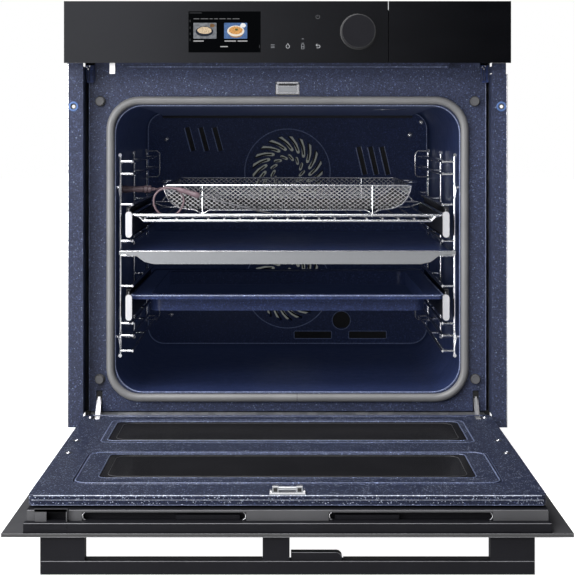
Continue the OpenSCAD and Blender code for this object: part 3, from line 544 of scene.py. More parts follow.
def strokes(name, lines, width, material=None):
    """Flat printed strokes on the panel: lists of (x, z) points."""
    piece = Piece(name, "screen_glass", material or PRINT)
    for line in lines:
        piece.tube([on_panel(x, z, 0.05) for x, z in line], width / 2, 6)
    return piece.done()


def tile(name, x, z, material, out=0.1, r=0.8):
    piece = Piece(name, "screen_glass", material)
    piece.prism(rounded_outline(x, z, r, 3), on_panel(0, 0, out), X, Z, -0.05, 0)
    return piece.done()


def ellipse(name, center, radii, material, out, wobble=0.0, seed=1):
    rng = random.Random(seed)
    outline = [(center[0] + radii[0] * (1 + wobble * rng.uniform(-1, 1)) * math.cos(a),
                center[1] + radii[1] * (1 + wobble * rng.uniform(-1, 1)) * math.sin(a))
               for a in turns(28)]
    piece = Piece(name, "screen_glass", material)
    piece.prism(outline, on_panel(0, 0, out), X, Z, -0.04, 0)
    return piece.done()


def display():
    black = glowing("display ground", (0.0012, 0.0015, 0.002))
    tile("display_ground", (-131.5, -35.9), (527.9, 582.1), black, 0.03, 1.2)
    picture_z = (546, 567)
    left, right = (-125.2, -94.5), (-84.3, -53.6)
    tile("picture_left", left, picture_z, glowing("slate table", (0.22, 0.23, 0.25), 0.45, 260), 0.12)
    tile("picture_right", right, picture_z, glowing("blue cloth", (0.085, 0.16, 0.34), 0.6, 500), 0.12)
    for name, center, radii, out, finish, *wobble in (
            ("oval_dish", (-110.5, 555.6), (11.8, 6.6), 0.2, ("dark dish", (0.02, 0.024, 0.035))),
            ("oval_dish_food", (-110.3, 557), (9.4, 4.7), 0.28,
             ("baked topping", (0.72, 0.56, 0.38), 0.4, 900), 0.08, 3),
            ("oval_dish_cloth", (-100.2, 563.4), (3.2, 2.6), 0.2,
             ("folded cloth", (0.20, 0.11, 0.05), 0.5, 900), 0.2, 5),
            ("round_bowl", (-68.9, 556.2), (11.4, 7.2), 0.2, ("pale bowl", (0.75, 0.68, 0.58), 0.85)),
            ("round_bowl_foot", (-68.6, 551.6), (8.6, 4.4), 0.18, ("bowl shade", (0.35, 0.2, 0.1), 0.6)),
            ("round_bowl_food", (-68.9, 557), (9.4, 5.2), 0.28,
             ("golden crust", (0.72, 0.36, 0.12), 0.45, 800), 0.06, 7),
            ("round_bowl_herb", (-67.8, 558), (2.2, 1.6), 0.36, ("herbs", (0.12, 0.12, 0.04)), 0.2, 9),
            ("cloth_corner", (-59.3, 563.6), (3.8, 3.0), 0.14,
             ("white cloth", (0.8, 0.8, 0.8), 0.8), 0.15, 11)):
        ellipse(name, center, radii, glowing(*finish), out, *wobble)
    pale = glowing("display print", (0.42, 0.42, 0.42), 0.7)
    dim = glowing("faint display print", (0.05, 0.052, 0.056), 0.7)
    words = ((-125, -117.5), (-115.6, -105.4), (-103.6, -99.4), (-97.6, -92.6), (-90.6, -82.4),
             (-80.4, -75), (-73, -64))
    strokes("title_bars", [[(x, 572.4) for x in word] for word in words], 1.0,
            glowing("title print", (0.16, 0.16, 0.165), 0.7))
    strokes("left_caption", [[(-125, 542.8), (-111.5, 542.8)]], 1.5, pale)
    strokes("right_caption", [[(-83.8, 542.8), (-68.5, 542.8)], [(-66.3, 542.8), (-53.4, 542.8)]], 1.5,
        pale)
    strokes("button_caption", [[(-89.4, 535.4), (-79.4, 535.4)]], 1.4, pale)
    strokes("page_marks", [[(-129.6, z), (-129.6, z - 3)] for z in (571, 562, 554, 546)]
            + [[(-37.2, 537.5), (-37.2, 533.5)], [(-130.2, 580.2), (-114, 580.2)]], 0.9, dim)


def icons():
    strokes("menu_icon", [[(-22.2, 536 + d), (-17.2, 536 + d)] for d in (-1.9, 0, 1.9)], 0.62)
    drop = arc((0.4, 535.6), 2.3, 120, 420, 14)
    strokes("light_icon", [drop + [(1.2, 538.6), (0.4, 539.6), (-0.4, 538.6), drop[0]]], 0.7,
            glowing("bright panel print", (0.5, 0.51, 0.53)))
    strokes("steam_icon", [[(18.6, 532.4), (22.0, 532.4), (22.0, 538.2), (18.6, 538.2), (18.6, 532.4)],
                           [(18.6, 535.2), (22.0, 535.2)], [(18.8, 539.9), (21.8, 539.9)],
                           [(19.0, 545.7), (21.6, 545.7)]], 0.7)
    strokes("back_icon", [[(38.2, 537.4), (40.6, 537.4)] + arc((41.4, 535.6), 1.8, 90, -90, 8)
        + [(38.6, 533.8)], [(39.8, 539.2), (37.8, 537.4), (39.8, 535.8)]], 0.7,
        glowing("bright back print", (0.5, 0.51, 0.53)))
    strokes("power_icon", [arc((40.3, 575), 2.5, 125, 415, 14), [(40.3, 575.2), (40.3, 578)]], 0.5,
            glowing("dim panel print", (0.16, 0.165, 0.175)))


def dial_details():
    lip = Piece("dial_rim", "dark_trim", TRIM_FACE, body="dial")
    lip.tube(circle(DIAL_X, -36.6, DIAL_Z, 21.7, 96), 0.22, 6, True).done()
    grip = Piece("dial_grip", "dark_trim", body="dial")
    for a in turns(90):
        x, z = DIAL_X + 22 * math.cos(a), DIAL_Z + 22 * math.sin(a)
        grip.tube([at(x, -34.5, z), at(x, -24, z)], 0.3, 6)
    grip.done()
    collar = Piece("dial_collar", "black_glass", BLACK_AND_SHADE)
    collar.turned([(5.2, 0.3), (23.4, 0.3), (24, 0), (5.2, 0), (5.2, 0.3)], at(DIAL_X, GLASS_Y, DIAL_Z),
        OUT, 64).done()


def panel_edges():
    edge = Piece("panel_edge_line", "black_glass", GLASS_EDGE)
    for x0, x1 in ((-297.1, 133.4), (135.1, 297.1)):
        edge.tube([at(x0, GLASS_Y + 0.25, 595.7), at(x1, GLASS_Y + 0.25, 595.7)], 0.28, 6)
    for x in (-297.2, 297.2):
        edge.tube([at(x, GLASS_Y + 0.25, 514.2), at(x, GLASS_Y + 0.25, 595.6)], 0.25, 6)
    edge.done()


display()
icons()
dial_details()
panel_edges()

# ---- air-fry basket

RIM_Z = 347.5
BASKET_Y = (72.2, 400)
SIDE_PROFILE = [(-172, 347.5), (-170.4, 340), (-166.5, 331), (-159.5, 322.5), (-150, 317.2),
                (-138, 314.9), (-124, 314.2), (-100, 314)]


def basket_profile():
    """Cross-section of the basket from its left rim to its right one, evenly spaced."""
    side = smooth_path([Vector((x, 0, z)) for x, z in SIDE_PROFILE], 5)
    floor = [Vector((x, 0, 314)) for x in range(-90, 91, 10)]
    return side + floor + [Vector((-p.x, 0, p.z)) for p in reversed(side)]


def basket():
    profile = basket_profile()
    runs = [0.0]
    for a, b in zip(profile, profile[1:]):
        runs.append(runs[-1] + (b - a).length)
    total = runs[-1]

    def on_tub(s, y, out):
        s = min(max(s, 0.0), total)
        i = next((k for k in range(len(runs) - 1) if runs[k + 1] >= s), len(runs) - 2)
        t = (s - runs[i]) / (runs[i + 1] - runs[i])
        p = profile[i].lerp(profile[i + 1], t)
        d = (profile[i + 1] - profile[i]).normalized()
        return at(p.x - d.z * out, y, p.z + d.x * out)

    weave = Piece("basket_mesh", "mesh_steel", body="upper_carriage")
    # The floor and side weave takes a darker copy of the mesh steel: painted shade.
    shade = Piece("basket_floor_mesh", "mesh_steel", WEAVE_SHADE, body="upper_carriage")
    wall_end = runs[next(i for i, p in enumerate(profile) if p.x > -168)]
    slope = 1.25
    pitch = 7.0
    low_y, high_y = BASKET_Y
    deep = high_y - low_y
    for sign, out in ((1, 0.35), (-1, -0.35)):
        start = -deep / slope if sign > 0 else 0.0
        end = total if sign > 0 else total + deep / slope
        offset = start
        while offset < end:
            steps = [offset + sign * k * 5.0 for k in range(int(deep / slope / 5.0) + 2)]
            for piece, flat in ((weave, False), (shade, True)):
                points = []
                for s in steps + [None]:
                    inside = s is not None and 0 <= s <= total and abs(s - offset) * slope <= deep
                    if inside and (wall_end <= s <= total - wall_end) == flat:
                        points.append(on_tub(s, low_y + abs(s - offset) * slope, out))
                    else:
                        if len(points) > 1:
                            piece.tube(points, 0.45, 4)
                        points = []
            offset += pitch

    def floor_at(x):
        for a, b in zip(profile, profile[1:]):
            if a.x <= x <= b.x and b.x > a.x:
                return a.z + (b.z - a.z) * (x - a.x) / (b.x - a.x)
        return RIM_Z

    for y in (low_y + 0.3, high_y - 0.3):
        for sign, out in ((1, 0.35), (-1, -0.35)):
            x = -172.0 - 63
            while x < 172 + 63:
                points = []
                for k in range(0, 30):
                    px = x + sign * k * 1.68
                    pz = RIM_Z - k * 1.25
                    if abs(px) < 171.8 and pz > floor_at(px) - 0.2:
                        points.append(at(px, y + out, pz))
                if len(points) > 1:
                    weave.tube([points[0], points[-1]], 0.5, 4)
                x += 7.4
    weave.done()
    shade.done()

    frame_wires = Piece("basket_frame", "chrome_wire", body="upper_carriage")
    loop = rounded_outline((-172.6, 172.6), (low_y - 0.5, high_y + 0.5), 9, 6)
    frame_wires.tube([at(x, y, RIM_Z) for x, y in loop], 1.7, 10, True)
    for y in (low_y - 0.4, high_y + 0.4):
        half = [(-172, 347), (-170.4, 339), (-166.5, 330), (-159.5, 321.5), (-150, 316.2), (-138, 313.9),
                (-128, 313.2), (-123.5, 311), (-118, 307.4), (-112.5, 311), (-108, 313.2), (-90, 313.2)]
        line = [at(x, y, z) for x, z in half] + [at(-x, y, z) for x, z in reversed(half)]
        frame_wires.tube(line, 0.95, 8)
        for x in (-118, 118):
            frame_wires.tube([at(x, y - 1.2, RIM_Z - 1), at(x, y - 1.2, 308)], 0.8, 8)
    for x in (-118, -40, 40, 118):
        frame_wires.tube([at(x, low_y, 312.9), at(x, high_y, 312.9)], 0.9, 8)
    for side in (-1, 1):
        handle = [(172, 196), (184, 196), (188.5, 200), (190, 208), (190, 262), (188.5, 270), (184, 274),
            (172, 274)]
        frame_wires.tube([at(side * x, y, RIM_Z) for x, y in handle], 1.7, 10)
    made = frame_wires.done()
    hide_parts("air_fry_basket")


basket()

# ---- casing front


def rims(name, material, body, slot, lines, radius, closed=False):
    """Rolled edges and painted edge highlights: tubes along lines of points in metres."""
    piece = Piece(name, slot, material, body)
    for line in lines:
        piece.tube(line, radius, 8, closed)
    return piece.done()


def front_outline(y, x, z, r, steps):
    """Rounded rectangle in a plane that faces the front, in millimetres."""
    return [at(a, y, b) for a, b in rounded_outline(x, z, r, steps)]


BUMPERS = ((254.5, 463.4), (255.3, 86))
BUSH_X, BUSH_Z = 287.3, 456
HINGE_X = 256


def casing_front():
    # The light enamel rims along the face plate's edges, the side trims' inner edges and the plate's lip
    # are painted highlights.
    plate = [[at(x, 26.2, 43), at(x, 26.2, 507)] for x in (-269.7, 269.7)]
    rims("plate_rims", RIM_HIGHLIGHT, "chassis", "grey_enamel", plate, 0.55)
    outer = [[at(x, -1.2, 25.5), at(x, -1.2, z)] for x, z in ((-294.7, 512.8), (294.7, 499.4))]
    rims("trim_outer_rims", SILVER, "chassis", "side_trim_grey", outer, 0.6)
    inner = [[at(x, -0.9, 25.5), at(x, -0.9, z)] for x, z in ((-279.6, 512.8), (279.6, 499.4))]
    rims("trim_inner_rims", RIM_HIGHLIGHT, "chassis", "side_trim_grey", inner, 0.5)
    lip = [[at(-217, 8, 509.6), at(217, 8, 509.6)]]
    rims("plate_lip_rim", RIM_HIGHLIGHT, "chassis", "grey_enamel", lip, 0.5)
    for side, word in SIDES:
        cap = Piece(f"corner_cap_{word}", "dark_plastic", MATERIALS["navy_enamel"])
        x = sorted((side * 262.4, side * 274.2))
        outline = [(x[0] + 2, 488.6)] + arc((x[1] - 3, 491.6), 3, 270, 360, 4) + [(x[1], 512), (x[0], 512)]
        cap.prism(outline, at(0, 26, 0), X, Z, 6.0, 0.6).done()
        ribs = Piece(f"corner_cap_ribs_{word}", "dark_plastic", BLACK_AND_SHADE)
        for k in (0.2, 0.45, 0.9):
            rib_x = x[0] + k * (x[1] - x[0])
            ribs.tube([at(rib_x, 19.6, 491.5), at(rib_x, 19.6, 511)], 0.45, 6)
        ribs.done()
        bits = Piece(f"corner_cap_clips_{word}", "stainless", SILVER)
        for k, z in ((0.18, 509.5), (0.5, 510.8), (0.34, 507)):
            clip_x = x[0] + k * (x[1] - x[0])
            bits.block(at(clip_x - 0.9, 18.6, z - 0.9), at(clip_x + 0.9, 20, z + 0.9), 0.3)
        bits.done()
        pads = Piece(f"bumper_rings_{word}", "pad_rubber", BLACK_AND_SHADE)
        for px, pz in BUMPERS:
            pads.turned([(5.5, 0.2), (6.9, 0.2), (7.2, -0.6), (7.2, -1.6), (5.5, -1.6), (5.5, 0.2)],
                        at(side * px, 25.2, pz), OUT, 40)
        pads.done()
        bush = Piece(f"bush_rim_{word}", "blue_plastic")
        bush.turned([(3.9, 0.4), (4.4, 1.1), (6.0, 1.1), (6.7, 0.3), (6.7, -0.4), (3.9, -0.4), (3.9, 0.4)],
                    at(side * BUSH_X, -1.5, BUSH_Z), OUT, 40).done()
        inner_ring = Piece(f"bush_sleeve_{word}", "blue_plastic", BLACK_AND_SHADE)
        inner_ring.turned([(2.45, 0.3), (3.9, 0.6), (3.9, -1.2), (2.45, -1.2), (2.45, 0.3)],
                          at(side * BUSH_X, -1.5, BUSH_Z), OUT, 32).done()


def corner_covers():
    """Strips that close the air slot and the trim's corner, and black blocks at the foot of the side walls
    that are painted shade.
    """
    strip = Piece("air_slot_strip", "grey_enamel")
    strip.block(at(-217, 9, 509.3), at(217, 10.2, 515.5), 0.4)
    for side in (-1, 1):
        strip.block(at(side * 217.6, 24.6, 507.4), at(side * 262, 25.8, 515.5), 0.4)
    strip.done()
    plate = Piece("trim_corner_plate", "side_trim_grey")
    plate.block(at(274.6, -1.2, 499.2), at(293.3, -0.4, 514.4), 0.2).done()
    for side, word in SIDES:
        # Black blocks at the foot of each side wall: painted shade.
        foot = Piece(f"foot_shadow_{word}", "dark_plastic", BLACK_AND_SHADE)
        foot.block(at(side * 268, 25, 28), at(side * 274.4, 27.4, 43), 0.4).done()


def catch_details():
    half, front = 12.2, 26.6
    surround = Piece("catch_frame", "stainless", SILVER)
    for x0, x1 in ((-15.8, -12.6), (12.6, 15.8)):
        surround.block(at(x0, 26.5, 473.4), at(x1, 29.5, 486.4), 0.5)
    surround.block(at(-half, front, 473.9), at(half, 28.4, 475.4), 0.4)
    surround.block(at(-half, front, 483.4), at(half, 28.4, 484.8), 0.4)
    for k in range(3):
        for side in (-1, 1):
            x, z = side * 13.5, 475.2 + 3.2 * k
            surround.block(at(x - 1.5, 26.1, z), at(x + 1.5, front, z + 1.4), 0.2)
    surround.block(at(-14.6, 23, 487.6), at(14.6, 25.8, 489.6), 0.4).done()
    Piece("catch_face", "stainless").block(at(-half, 27, 475.4), at(half, 28.4, 483.4), 0.3).done()
    Piece("catch_hood", "dark_plastic", BLACK_AND_SHADE).block(at(-11.6, 24, 485), at(11.6, 26.6, 487.6), 0.4).done()


def hinge_details():
    for side, word in SIDES:
        link = Piece(f"hinge_link_{word}", "stainless", SPIKE_STEEL)
        outline = [(2, 32), (8, 30), (20, 44), (26, 53), (26, 60), (21.5, 57), (12, 45), (4, 35)]
        for x in (-3.1, 1.8):
            link.prism(outline, at(side * HINGE_X + x, 0, 0), Y, Z, 1.3, 0.3)
        for y, z in ((6, 35), (15, 46), (23, 56.4)):
            link.tube([at(side * HINGE_X - 3.1, y, z), at(side * HINGE_X + 3.1, y, z)], 1.5, 12)
        link.block(at(side * HINGE_X - 1.6, 7, 32.5), at(side * HINGE_X + 1.6, 9, 37.5), 0.5).done()
        # Black over the hinge arm's slot in the face plate: painted shade inside the slot.
        slot_rim = Piece(f"hinge_slot_{word}", "dark_plastic", BLACK_AND_SHADE)
        slot_rim.prism(rounded_outline((side * HINGE_X - 3.9, side * HINGE_X + 3.9), (44, 69.6), 3.6, 5),
                       at(0, 26.3, 0), X, Z, -0.25, 0.05).done()
        bolt = Piece(f"hinge_bolt_{word}", "stainless", SILVER, body="door")
        bolt.turned([(0, 1.6), (1.6, 1.4), (2.4, 0.5), (2.5, 0), (0, 0)], opened(side * 263.5, 17, 41), Z,
            20).done()


casing_front()
corner_covers()
catch_details()
hinge_details()

# ---- cavity

FAN_HEIGHTS = (355.5, 169)


def rack_hooks():
    hooks = Piece("rack_hooks", "chrome_wire")
    for side in (-1, 1):
        for low, high in ((347.8, 390), (115.4, 157)):
            loop = [(229.8, low), (212, low), (208, low + 4), (208, high - 4), (212, high), (229.8, high)]
            hooks.tube([at(side * x, 447.4, z) for x, z in loop], 1.5, 10)
        for low, high in ((330, 352), (126, 150)):
            bulge = [(229.6, low), (229.8, low + 3), (231.6, (low + high) / 2), (229.8, high - 3),
                (229.6, high)]
            hooks.tube([at(side * x, 44.2, z) for x, z in bulge], 1.5, 10)
    hooks.done()


def cavity_rims():
    def cavity(name, material, lines, radius):
        rims(name, material, "chassis", "navy_enamel", lines, radius, True)

    # These rims are lighter, glowing enamel: painted highlights along the cavity's front edge, the baffle,
    # the grilles and the slots.
    cavity("cavity_edge_rim", CAVITY_RIM_HIGHLIGHT, [front_outline(29.5, (-234.6, 234.6), (67.4, 457.6), 38, 10)],
        0.6)
    cavity("baffle_rim", DIM_RIM_HIGHLIGHT, [front_outline(469.9, (-228.6, 228.6), (73.6, 451.4), 26, 8)], 0.7)
    cavity("grille_rims", DIM_RIM_HIGHLIGHT, [circle(0, 469.1, z, 70.2, 72) for z in FAN_HEIGHTS], 0.75)
    slots = [front_outline(469.8, x, (81.4, 93.7), 2, 4) for x in ((10.8, 72.4), (100.5, 162.5))]
    cavity("baffle_slot_rims", DIM_RIM_HIGHLIGHT, slots + [circle(88.4, 469.8, 111.5, 15, 32)], 0.5)
    boss = Piece("steam_outlet", "navy_enamel")
    boss.prism(rounded_outline((132, 214), (422, 438), 8, 6), at(0, 470, 0), X, Z, 2.2, 1.2).done()


def runner_caps():
    """Light pill shaped caps on the dark telescopic channels."""
    for body, bottom in (("upper_carriage", 282.8), ("lower_carriage", 170.1)):
        for side, word in SIDES:
            cap = Piece(f"{body}_cap_{word}", "light_metal", body=body)
            outline = rounded_outline((side * 215.4 - 4.35, side * 215.4 + 4.35),
                (bottom - 4.35, bottom + 30.85), 4.3, 6)
            cap.prism(outline, at(0, 28.1, 0), X, Z, 8.3, 0.7).done()


def slot_shadow_sheets():
    """Black sheets a little behind the baffle's slots and its round hole: painted shade seen through the
    openings.
    """
    sheets = Piece("slot_shadow_sheets", "navy_enamel", BLACK_AND_SHADE)
    for x0, x1, z0, z1 in ((-178, -97, 380, 438), (104, 178, 342, 405), (8, 76, 78, 97), (97, 166, 78, 97),
                           (70, 107, 99, 130)):
        sheets.block(at(x0, 472.4, z0), at(x1, 473.2, z1), 0.2)
    sheets.done()


def louvre_shade_lines():
    """Black strokes along one side of every grille louvre, painted shade in the openings, and lighter lines
    along both sides of each slanted slot, painted highlights.
    """
    shade_strokes = Piece("louvre_shade_lines", "navy_enamel", BLACK_AND_SHADE)
    for height in FAN_HEIGHTS:
        for count, line, wide in ((21, [(58, 3), (47.6, -9), (38.4, -22)], 1.35),
                                  (13, [(26.5, 4), (24.4, -3.5), (22, -13)], 1.1)):
            for i in range(count):
                turn = 360 * i / count
                points = [at(r * math.cos(math.radians(a + turn)), 469.6,
                             height + r * math.sin(math.radians(a + turn))) for r, a in line]
                shade_strokes.tube(smooth_path(points, 4), wide, 6)
    shade_strokes.done()
    slots = Piece("slot_highlights", "navy_enamel", DIM_RIM_HIGHLIGHT)
    for places, z, lean, half in (((-160, -137.5, -115), 409, 15, 20), ((122, 141, 160), 373.5, 13, 23.5)):
        dx, dz = -math.sin(math.radians(lean)), math.cos(math.radians(lean))
        for x in places:
            for side, radius in ((-4.4, 0.9), (4.4, 0.6)):
                mid = (x + side * dz, z - side * dx)
                slots.tube([at(mid[0] + dx * half * k, 469.6, mid[1] + dz * half * k) for k in (-1, 1)],
                           radius, 6)
    slots.done()


def ceiling():
    """The ceiling falls towards the back in front of the grill element."""
    # The slope's enamel is lighter than the cavity's and glows: painted light.
    sheet = Piece("ceiling_slope", "navy_enamel", CEILING_LIT_ENAMEL)
    sheet.prism([(31, 457.4), (60, 456.8), (440, 449.4), (468.5, 447.6), (468.5, 448.6), (440, 450.4),
                 (60, 457.8), (31, 457.9)], at(-205, 0, 0), Y, Z, 410, 0).done()
    # Black strip in the gap at the top of the back wall: painted shadow.
    gap = Piece("ceiling_gap_shadow", "navy_enamel", BLACK_AND_SHADE)
    gap.block(at(-205, 467.4, 443.6), at(205, 468.4, 447.5), 0.2).done()


def screw_heads():
    heads = Piece("baffle_screw_heads", "stainless", SILVER)
    for x, z in ((-198.6, 409), (201, 416), (-190.6, 121), (220, 437)):
        heads.turned([(0, 1.0), (1.2, 1.0), (1.3, 1.9), (3.2, 1.6), (4.3, 0.4), (4.4, 0), (0, 0)],
                     at(x, 468, z), OUT, 24)
    heads.done()


def gasket_joint():
    joint = Piece("gasket_joint", "seal_rubber", BLACK_AND_SHADE)
    joint.turned([(5.3, -0.25), (5.55, -0.25), (5.55, 0.25), (5.3, 0.25), (5.3, -0.25)], at(13, 22.8, 60.9),
        X, 24).done()


def tray_edges():
    # Both rims are lighter than the tray's enamel: painted highlights along its edges.
    for name, finish, x, y, r, z, width in (
            ("tray_rim", RIM_HIGHLIGHT, 213.4, (30.6, 429.4), 12, 198.4, 1.1),
            ("tray_inner_rim", SOFT_RIM_HIGHLIGHT, 188.6, (52.6, 407.4), 17, 197.8, 0.6)):
        line = [at(a, b, z) for a, b in rounded_outline((-x, x), y, r, 6)]
        rims(name, finish, "lower_carriage", "navy_enamel", [line], width, True)


def divider_edges():
    top = [[at(-229, 28.2, 259.3), at(229, 28.2, 259.3)]]
    rims("divider_top_edge", SILVER, "divider", "stainless", top, 0.7)


rack_hooks()
runner_caps()
cavity_rims()
louvre_shade_lines()
slot_shadow_sheets()
ceiling()
screw_heads()
gasket_joint()
tray_edges()
divider_edges()

# ---- door


def door_rims():
    def ring(name, material, body, x, z, r, y, radius):
        line = [opened(a, y, b) for a, b in rounded_outline((-x, x), z, r, 8)]
        rims(name, material, body, "grey_enamel", [line], radius, True)

    # The lighter rings and beads below are painted highlights along the door's edges, embosses and window
    # openings.
    ring("window_emboss", RIM_HIGHLIGHT, "door", 231, (58, 207), 14, 15.9, 1.4)
    ring("window_edge", RIM_HIGHLIGHT, "door", 223.9, (68.6, 195.4), 10, 16.9, 0.6)
    ring("flex_opening_rim", SOFT_RIM_HIGHLIGHT, "door", 236.5, (262.6, 433.4), 20, 16.7, 0.6)
    ring("flex_panel_rim", RIM_HIGHLIGHT, "flex_door", 233.4, (266, 428), 17, 16.9, 0.8)
    ring("flex_window_edge", RIM_HIGHLIGHT, "flex_door", 210.2, (274.6, 402.4), 10, 16.8, 0.55)
    for name, material, beads, radius in (
            ("door_back_beads", SOFT_RIM_HIGHLIGHT, ((262, 17, 24), (240, 17, 33)), 0.7),
            ("door_top_bead", EDGE_HIGHLIGHT, ((268, 16.6, 484.8),), 0.5),
            ("door_middle_bead", EDGE_HIGHLIGHT, ((270, 11.9, 484.4),), 0.32),
            ("door_lower_bead", RIM_HIGHLIGHT, ((270, 6.6, 484.8),), 0.4)):
        lines = [[opened(-x, y, z), opened(x, y, z)] for x, y, z in beads]
        rims(name, material, "door", "grey_enamel", lines, radius)


def door_screws():
    for side, word in SIDES:
        for number, z in enumerate((194, 268)):
            # A black ring round each screw: painted shade in its recess.
            recess = Piece(f"door_screw_recess_{word}_{number}", "dark_plastic", BLACK_AND_SHADE, body="door")
            recess.turned([(3.0, 0.12), (4.6, 0.2), (5.2, 0.05), (5.2, -0.4), (3.0, -0.4), (3.0, 0.12)],
                          opened(side * 261, 17, z), Z, 32).done()
            head = Piece(f"door_screw_{word}_{number}", "stainless", SILVER, body="door")
            head.turned([(0, 0.35), (1.1, 0.35), (1.3, 1.0), (2.6, 0.75), (3.0, 0.1), (3.0, -0.3),
                (0, -0.3)], opened(side * 261, 17, z), Z, 28).done()


def window_depths():
    """What shows of the inner panes: faint frames and spacers under the window glass."""
    line = plastic("inner pane edge", (0.05, 0.05, 0.052), 0.4, 1400, 0.03)
    for name, body, x, z in (("lower", "door", 214, (78, 186)), ("upper", "flex_door", 201, (284, 393))):
        loop = [opened(a, 16.55, b) for a, b in rounded_outline((-x, x), z, 14, 6)]
        rims(f"{name}_pane_frame", line, body, "dark_window", [loop], 0.35, True)


def latch_details():
    plate = Piece("latch_plate", "stainless", SILVER, body="door")
    plate.block(opened(-18.8, 18.4, 474.2), opened(18.8, 19.2, 476), 0.3)
    plate.block(opened(-18.8, 18.4, 482.2), opened(18.8, 19.4, 484), 0.3)
    for side in (-1, 1):
        x = sorted((side * 9.6, side * 15.8))
        plate.block(opened(x[0], 25, 475.7), opened(x[1], 25.9, 481.8), 0.4)
        plate.block(opened(side * 17.6 - 1, 18.5, 475), opened(side * 17.6 + 1, 21.5, 483), 0.4)
    plate.done()
    # Black in the latch's openings: painted shade.
    hollow = Piece("latch_recess", "dark_plastic", BLACK_AND_SHADE, body="door")
    for side in (-1, 1):
        x = sorted((side * 10.6, side * 14.8))
        hollow.block(opened(x[0], 20, 482), opened(x[1], 24, 482.4), 0.1)
    hollow.done()


def trim_details():
    face = Piece("trim_face_plate", "dark_trim", TRIM_FACE, body="flex_door")
    for x0, x1, y0, y1 in ((-273.2, -265.2, -7.2, 3.6), (-229.6, -215.4, -7.2, 3.6),
            (-43.1, 43.1, -7.2, 3.6), (215.4, 273.2, -7.2, 3.6), (-215.4, -43.1, 1.6, 3.6),
            (43.1, 215.4, 1.6, 3.6)):
        face.block(opened(x0, y0, 495), opened(x1, y1, 495.35), 0.15)
    face.block(opened(-265, 3.0, 499), opened(-229.8, 6.2, 499.4), 0.15).done()
    lock = Piece("lock_face", "dark_trim", TRIM_FACE, body="flex_door")
    for x0, x1, y0, y1 in ((-264.3, -251.9, -7.2, 5.8), (-231.4, -230.2, -7.2, 5.8),
            (-251.9, -231.4, 3, 5.8)):
        lock.block(opened(x0, y0, 499), opened(x1, y1, 499.4), 0.12)
    lock.done()
    ends = Piece("slot_ends", "chrome_wire", SILVER, body="flex_door")
    for side in (-1, 1):
        for x, turn in ((214.2, 1), (44.4, -1)):
            points = [opened(side * (x - turn * 2.6 + turn * 3.2 * math.cos(a)), -2.6 + 3.9 * math.sin(a),
                494.4) for a in (math.radians(-80 + 20 * k) for k in range(9))]
            ends.tube(points, 0.55, 8)
    ends.done()
    bars = Piece("slot_bars", "dark_trim", body="flex_door")
    for side in (-1, 1):
        x = sorted((side * 50, side * 117))
        bars.block(opened(x[0], -6.3, 490), opened(x[1], -1.6, 493.6), 0.5)
    bars.done()
    # The light lines along the glass's top edges are painted highlights.
    edge = [[opened(-296.8, -20.7, 509.4), opened(296.8, -20.7, 509.4)],
            [opened(-296.8, -17.3, 509.4), opened(296.8, -17.3, 509.4)]]
    rims("glass_edge_lines", TRIM_EDGE_HIGHLIGHT, "flex_door", "black_glass", edge, 0.3)
    for name, body, low, high in (("lower", "door", 40, 227), ("upper", "flex_door", 241, 508.8)):
        border = Piece(f"{name}_glass_border", "black_glass", GLASS_BACK, body=body)
        for side in (-1, 1):
            x = sorted((side * 275.6, side * 296.6))
            border.block(opened(x[0], -17.1, low), opened(x[1], -16.9, high), 0.08)
        border.done()
    # The light lines along the trim's steps are painted highlights.
    step = [[opened(-272.8, 3.7, 495), opened(272.8, 3.7, 495)],
        [opened(-274.6, -7.5, 506.3), opened(274.6, -7.5, 506.3)]]
    rims("trim_step_lines", TRIM_EDGE_HIGHLIGHT, "flex_door", "dark_trim", step, 0.3)


def handle_details():
    # The light lines along the handle's and the lever's edges are painted highlights.
    lines = [[opened(-257.2, -47.2, 505), opened(257.2, -47.2, 505)]]
    rims("handle_edge_line", TRIM_EDGE_HIGHLIGHT, "flex_door", "dark_trim", lines, 0.3)
    # Black blocks behind the handle: painted shade.
    shade = Piece("handle_back_shadow", "dark_trim", BLACK_AND_SHADE, body="flex_door")
    for x0, x1 in ((-211, -26.2), (58.4, 211)):
        shade.block(opened(x0, -46.9, 491), opened(x1, -45.6, 500), 0.3)
    shade.done()
    lever = [[opened(4.4, -38.4, 503.2), opened(50.6, -38.4, 503.2)]
             + [opened(50.8 + 6 * math.sin(a), -44.4 + 6 * math.cos(a), 503.2) for a in (0.4, 0.9, 1.4)]]
    rims("lever_edge_line", TRIM_EDGE_HIGHLIGHT, "handle_release", "dark_trim", lever, 0.25)


door_rims()
door_screws()
window_depths()
latch_details()
trim_details()
handle_details()

# ---- stage


def backdrop():
    floor_z = cad_box[0].z - 0.4 * MM
    mesh = bpy.data.meshes.new("floor")
    mesh.from_pydata([(-9, -6, floor_z), (9, -6, floor_z), (9, 12, floor_z), (-9, 12, floor_z)],
                     [], [(0, 1, 2, 3)])
    floor = bpy.data.objects.new("floor", mesh)
    scene.collection.objects.link(floor)
    s = Shader("floor", (0.5, 0.5, 0.5), 0.9)
    s.set("Emission Color", (1, 1, 1, 1))
    seen = s.node("ShaderNodeLightPath").outputs["Is Camera Ray"]
    s.link(s.spread(seen, 0.3, 1.0), s.bsdf.inputs["Emission Strength"])
    mesh.materials.append(s.material)


def soft_light(name, place, target, size, power):
    light = bpy.data.lights.new(name, "AREA")
    light.shape = "RECTANGLE"
    light.size, light.size_y = size
    light.energy = power
    lamp = bpy.data.objects.new(name, light)
    scene.collection.objects.link(lamp)
    lamp.location = place
    lamp.visible_camera = False
    lamp.rotation_euler = (Vector(target) - Vector(place)).to_track_quat("-Z", "Y").to_euler()


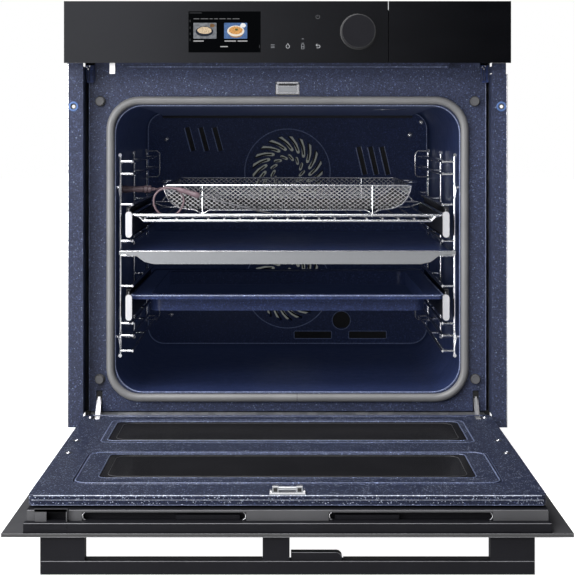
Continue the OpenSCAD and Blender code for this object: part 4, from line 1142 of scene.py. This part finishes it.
def studio():
    """Soft light: a bright left side and a dark right one, white where the camera looks past."""
    world = bpy.data.worlds.new("studio")
    scene.world = world
    world.use_nodes = True
    new, link = world.node_tree.nodes.new, world.node_tree.links.new
    path = new("ShaderNodeLightPath")
    shade = new("ShaderNodeMix")
    shade.data_type = "RGBA"
    shade.inputs[7].default_value = (1, 1, 1, 1)
    direction = new("ShaderNodeTexCoord")
    parts = new("ShaderNodeSeparateXYZ")
    across = new("ShaderNodeMapRange")
    across.inputs["From Min"].default_value = -0.3
    across.inputs["From Max"].default_value = 0.3
    ramp = new("ShaderNodeValToRGB")
    ramp.color_ramp.elements[0].color = (0.64, 0.65, 0.70, 1)
    ramp.color_ramp.elements[1].color = (0.07, 0.073, 0.085, 1)
    for stop, value in ((0.33, 0.57), (0.4, 0.36), (0.5, 0.205), (0.6, 0.115), (0.71, 0.01), (0.8, 0.05)):
        ramp.color_ramp.elements.new(stop).color = (value, 1.02 * value, 1.12 * value, 1)
    behind = new("ShaderNodeMapRange")
    for socket, value in (("From Min", -0.1), ("From Max", 0.4), ("To Min", 1.0), ("To Max", 0.3)):
        behind.inputs[socket].default_value = value
    dimmed = new("ShaderNodeVectorMath")
    dimmed.operation = "SCALE"
    back = world.node_tree.nodes["Background"]
    for source, target in (
            (direction.outputs["Generated"], parts.inputs["Vector"]),
            (parts.outputs["X"], across.inputs["Value"]), (across.outputs["Result"], ramp.inputs["Fac"]),
            (parts.outputs["Y"], behind.inputs["Value"]), (ramp.outputs["Color"], dimmed.inputs[0]),
            (behind.outputs["Result"], dimmed.inputs["Scale"]), (dimmed.outputs[0], shade.inputs[6]),
            (path.outputs["Is Camera Ray"], shade.inputs["Factor"]),
            (shade.outputs[2], back.inputs["Color"])):
        link(source, target)
    soft_light("left", (-1.5, -1.5, 0.5), (0, -0.2, 0.35), (0.9, 0.8), 28)
    soft_light("front", (-0.9, -2.7, 1.7), (0, -0.2, 0.3), (1.3, 0.9), 37)
    soft_light("top", (-0.7, -1.2, 2.3), (0, -0.5, 0.1), (1.7, 1.2), 62)


backdrop()
studio()
scene.view_settings.view_transform = "Standard"
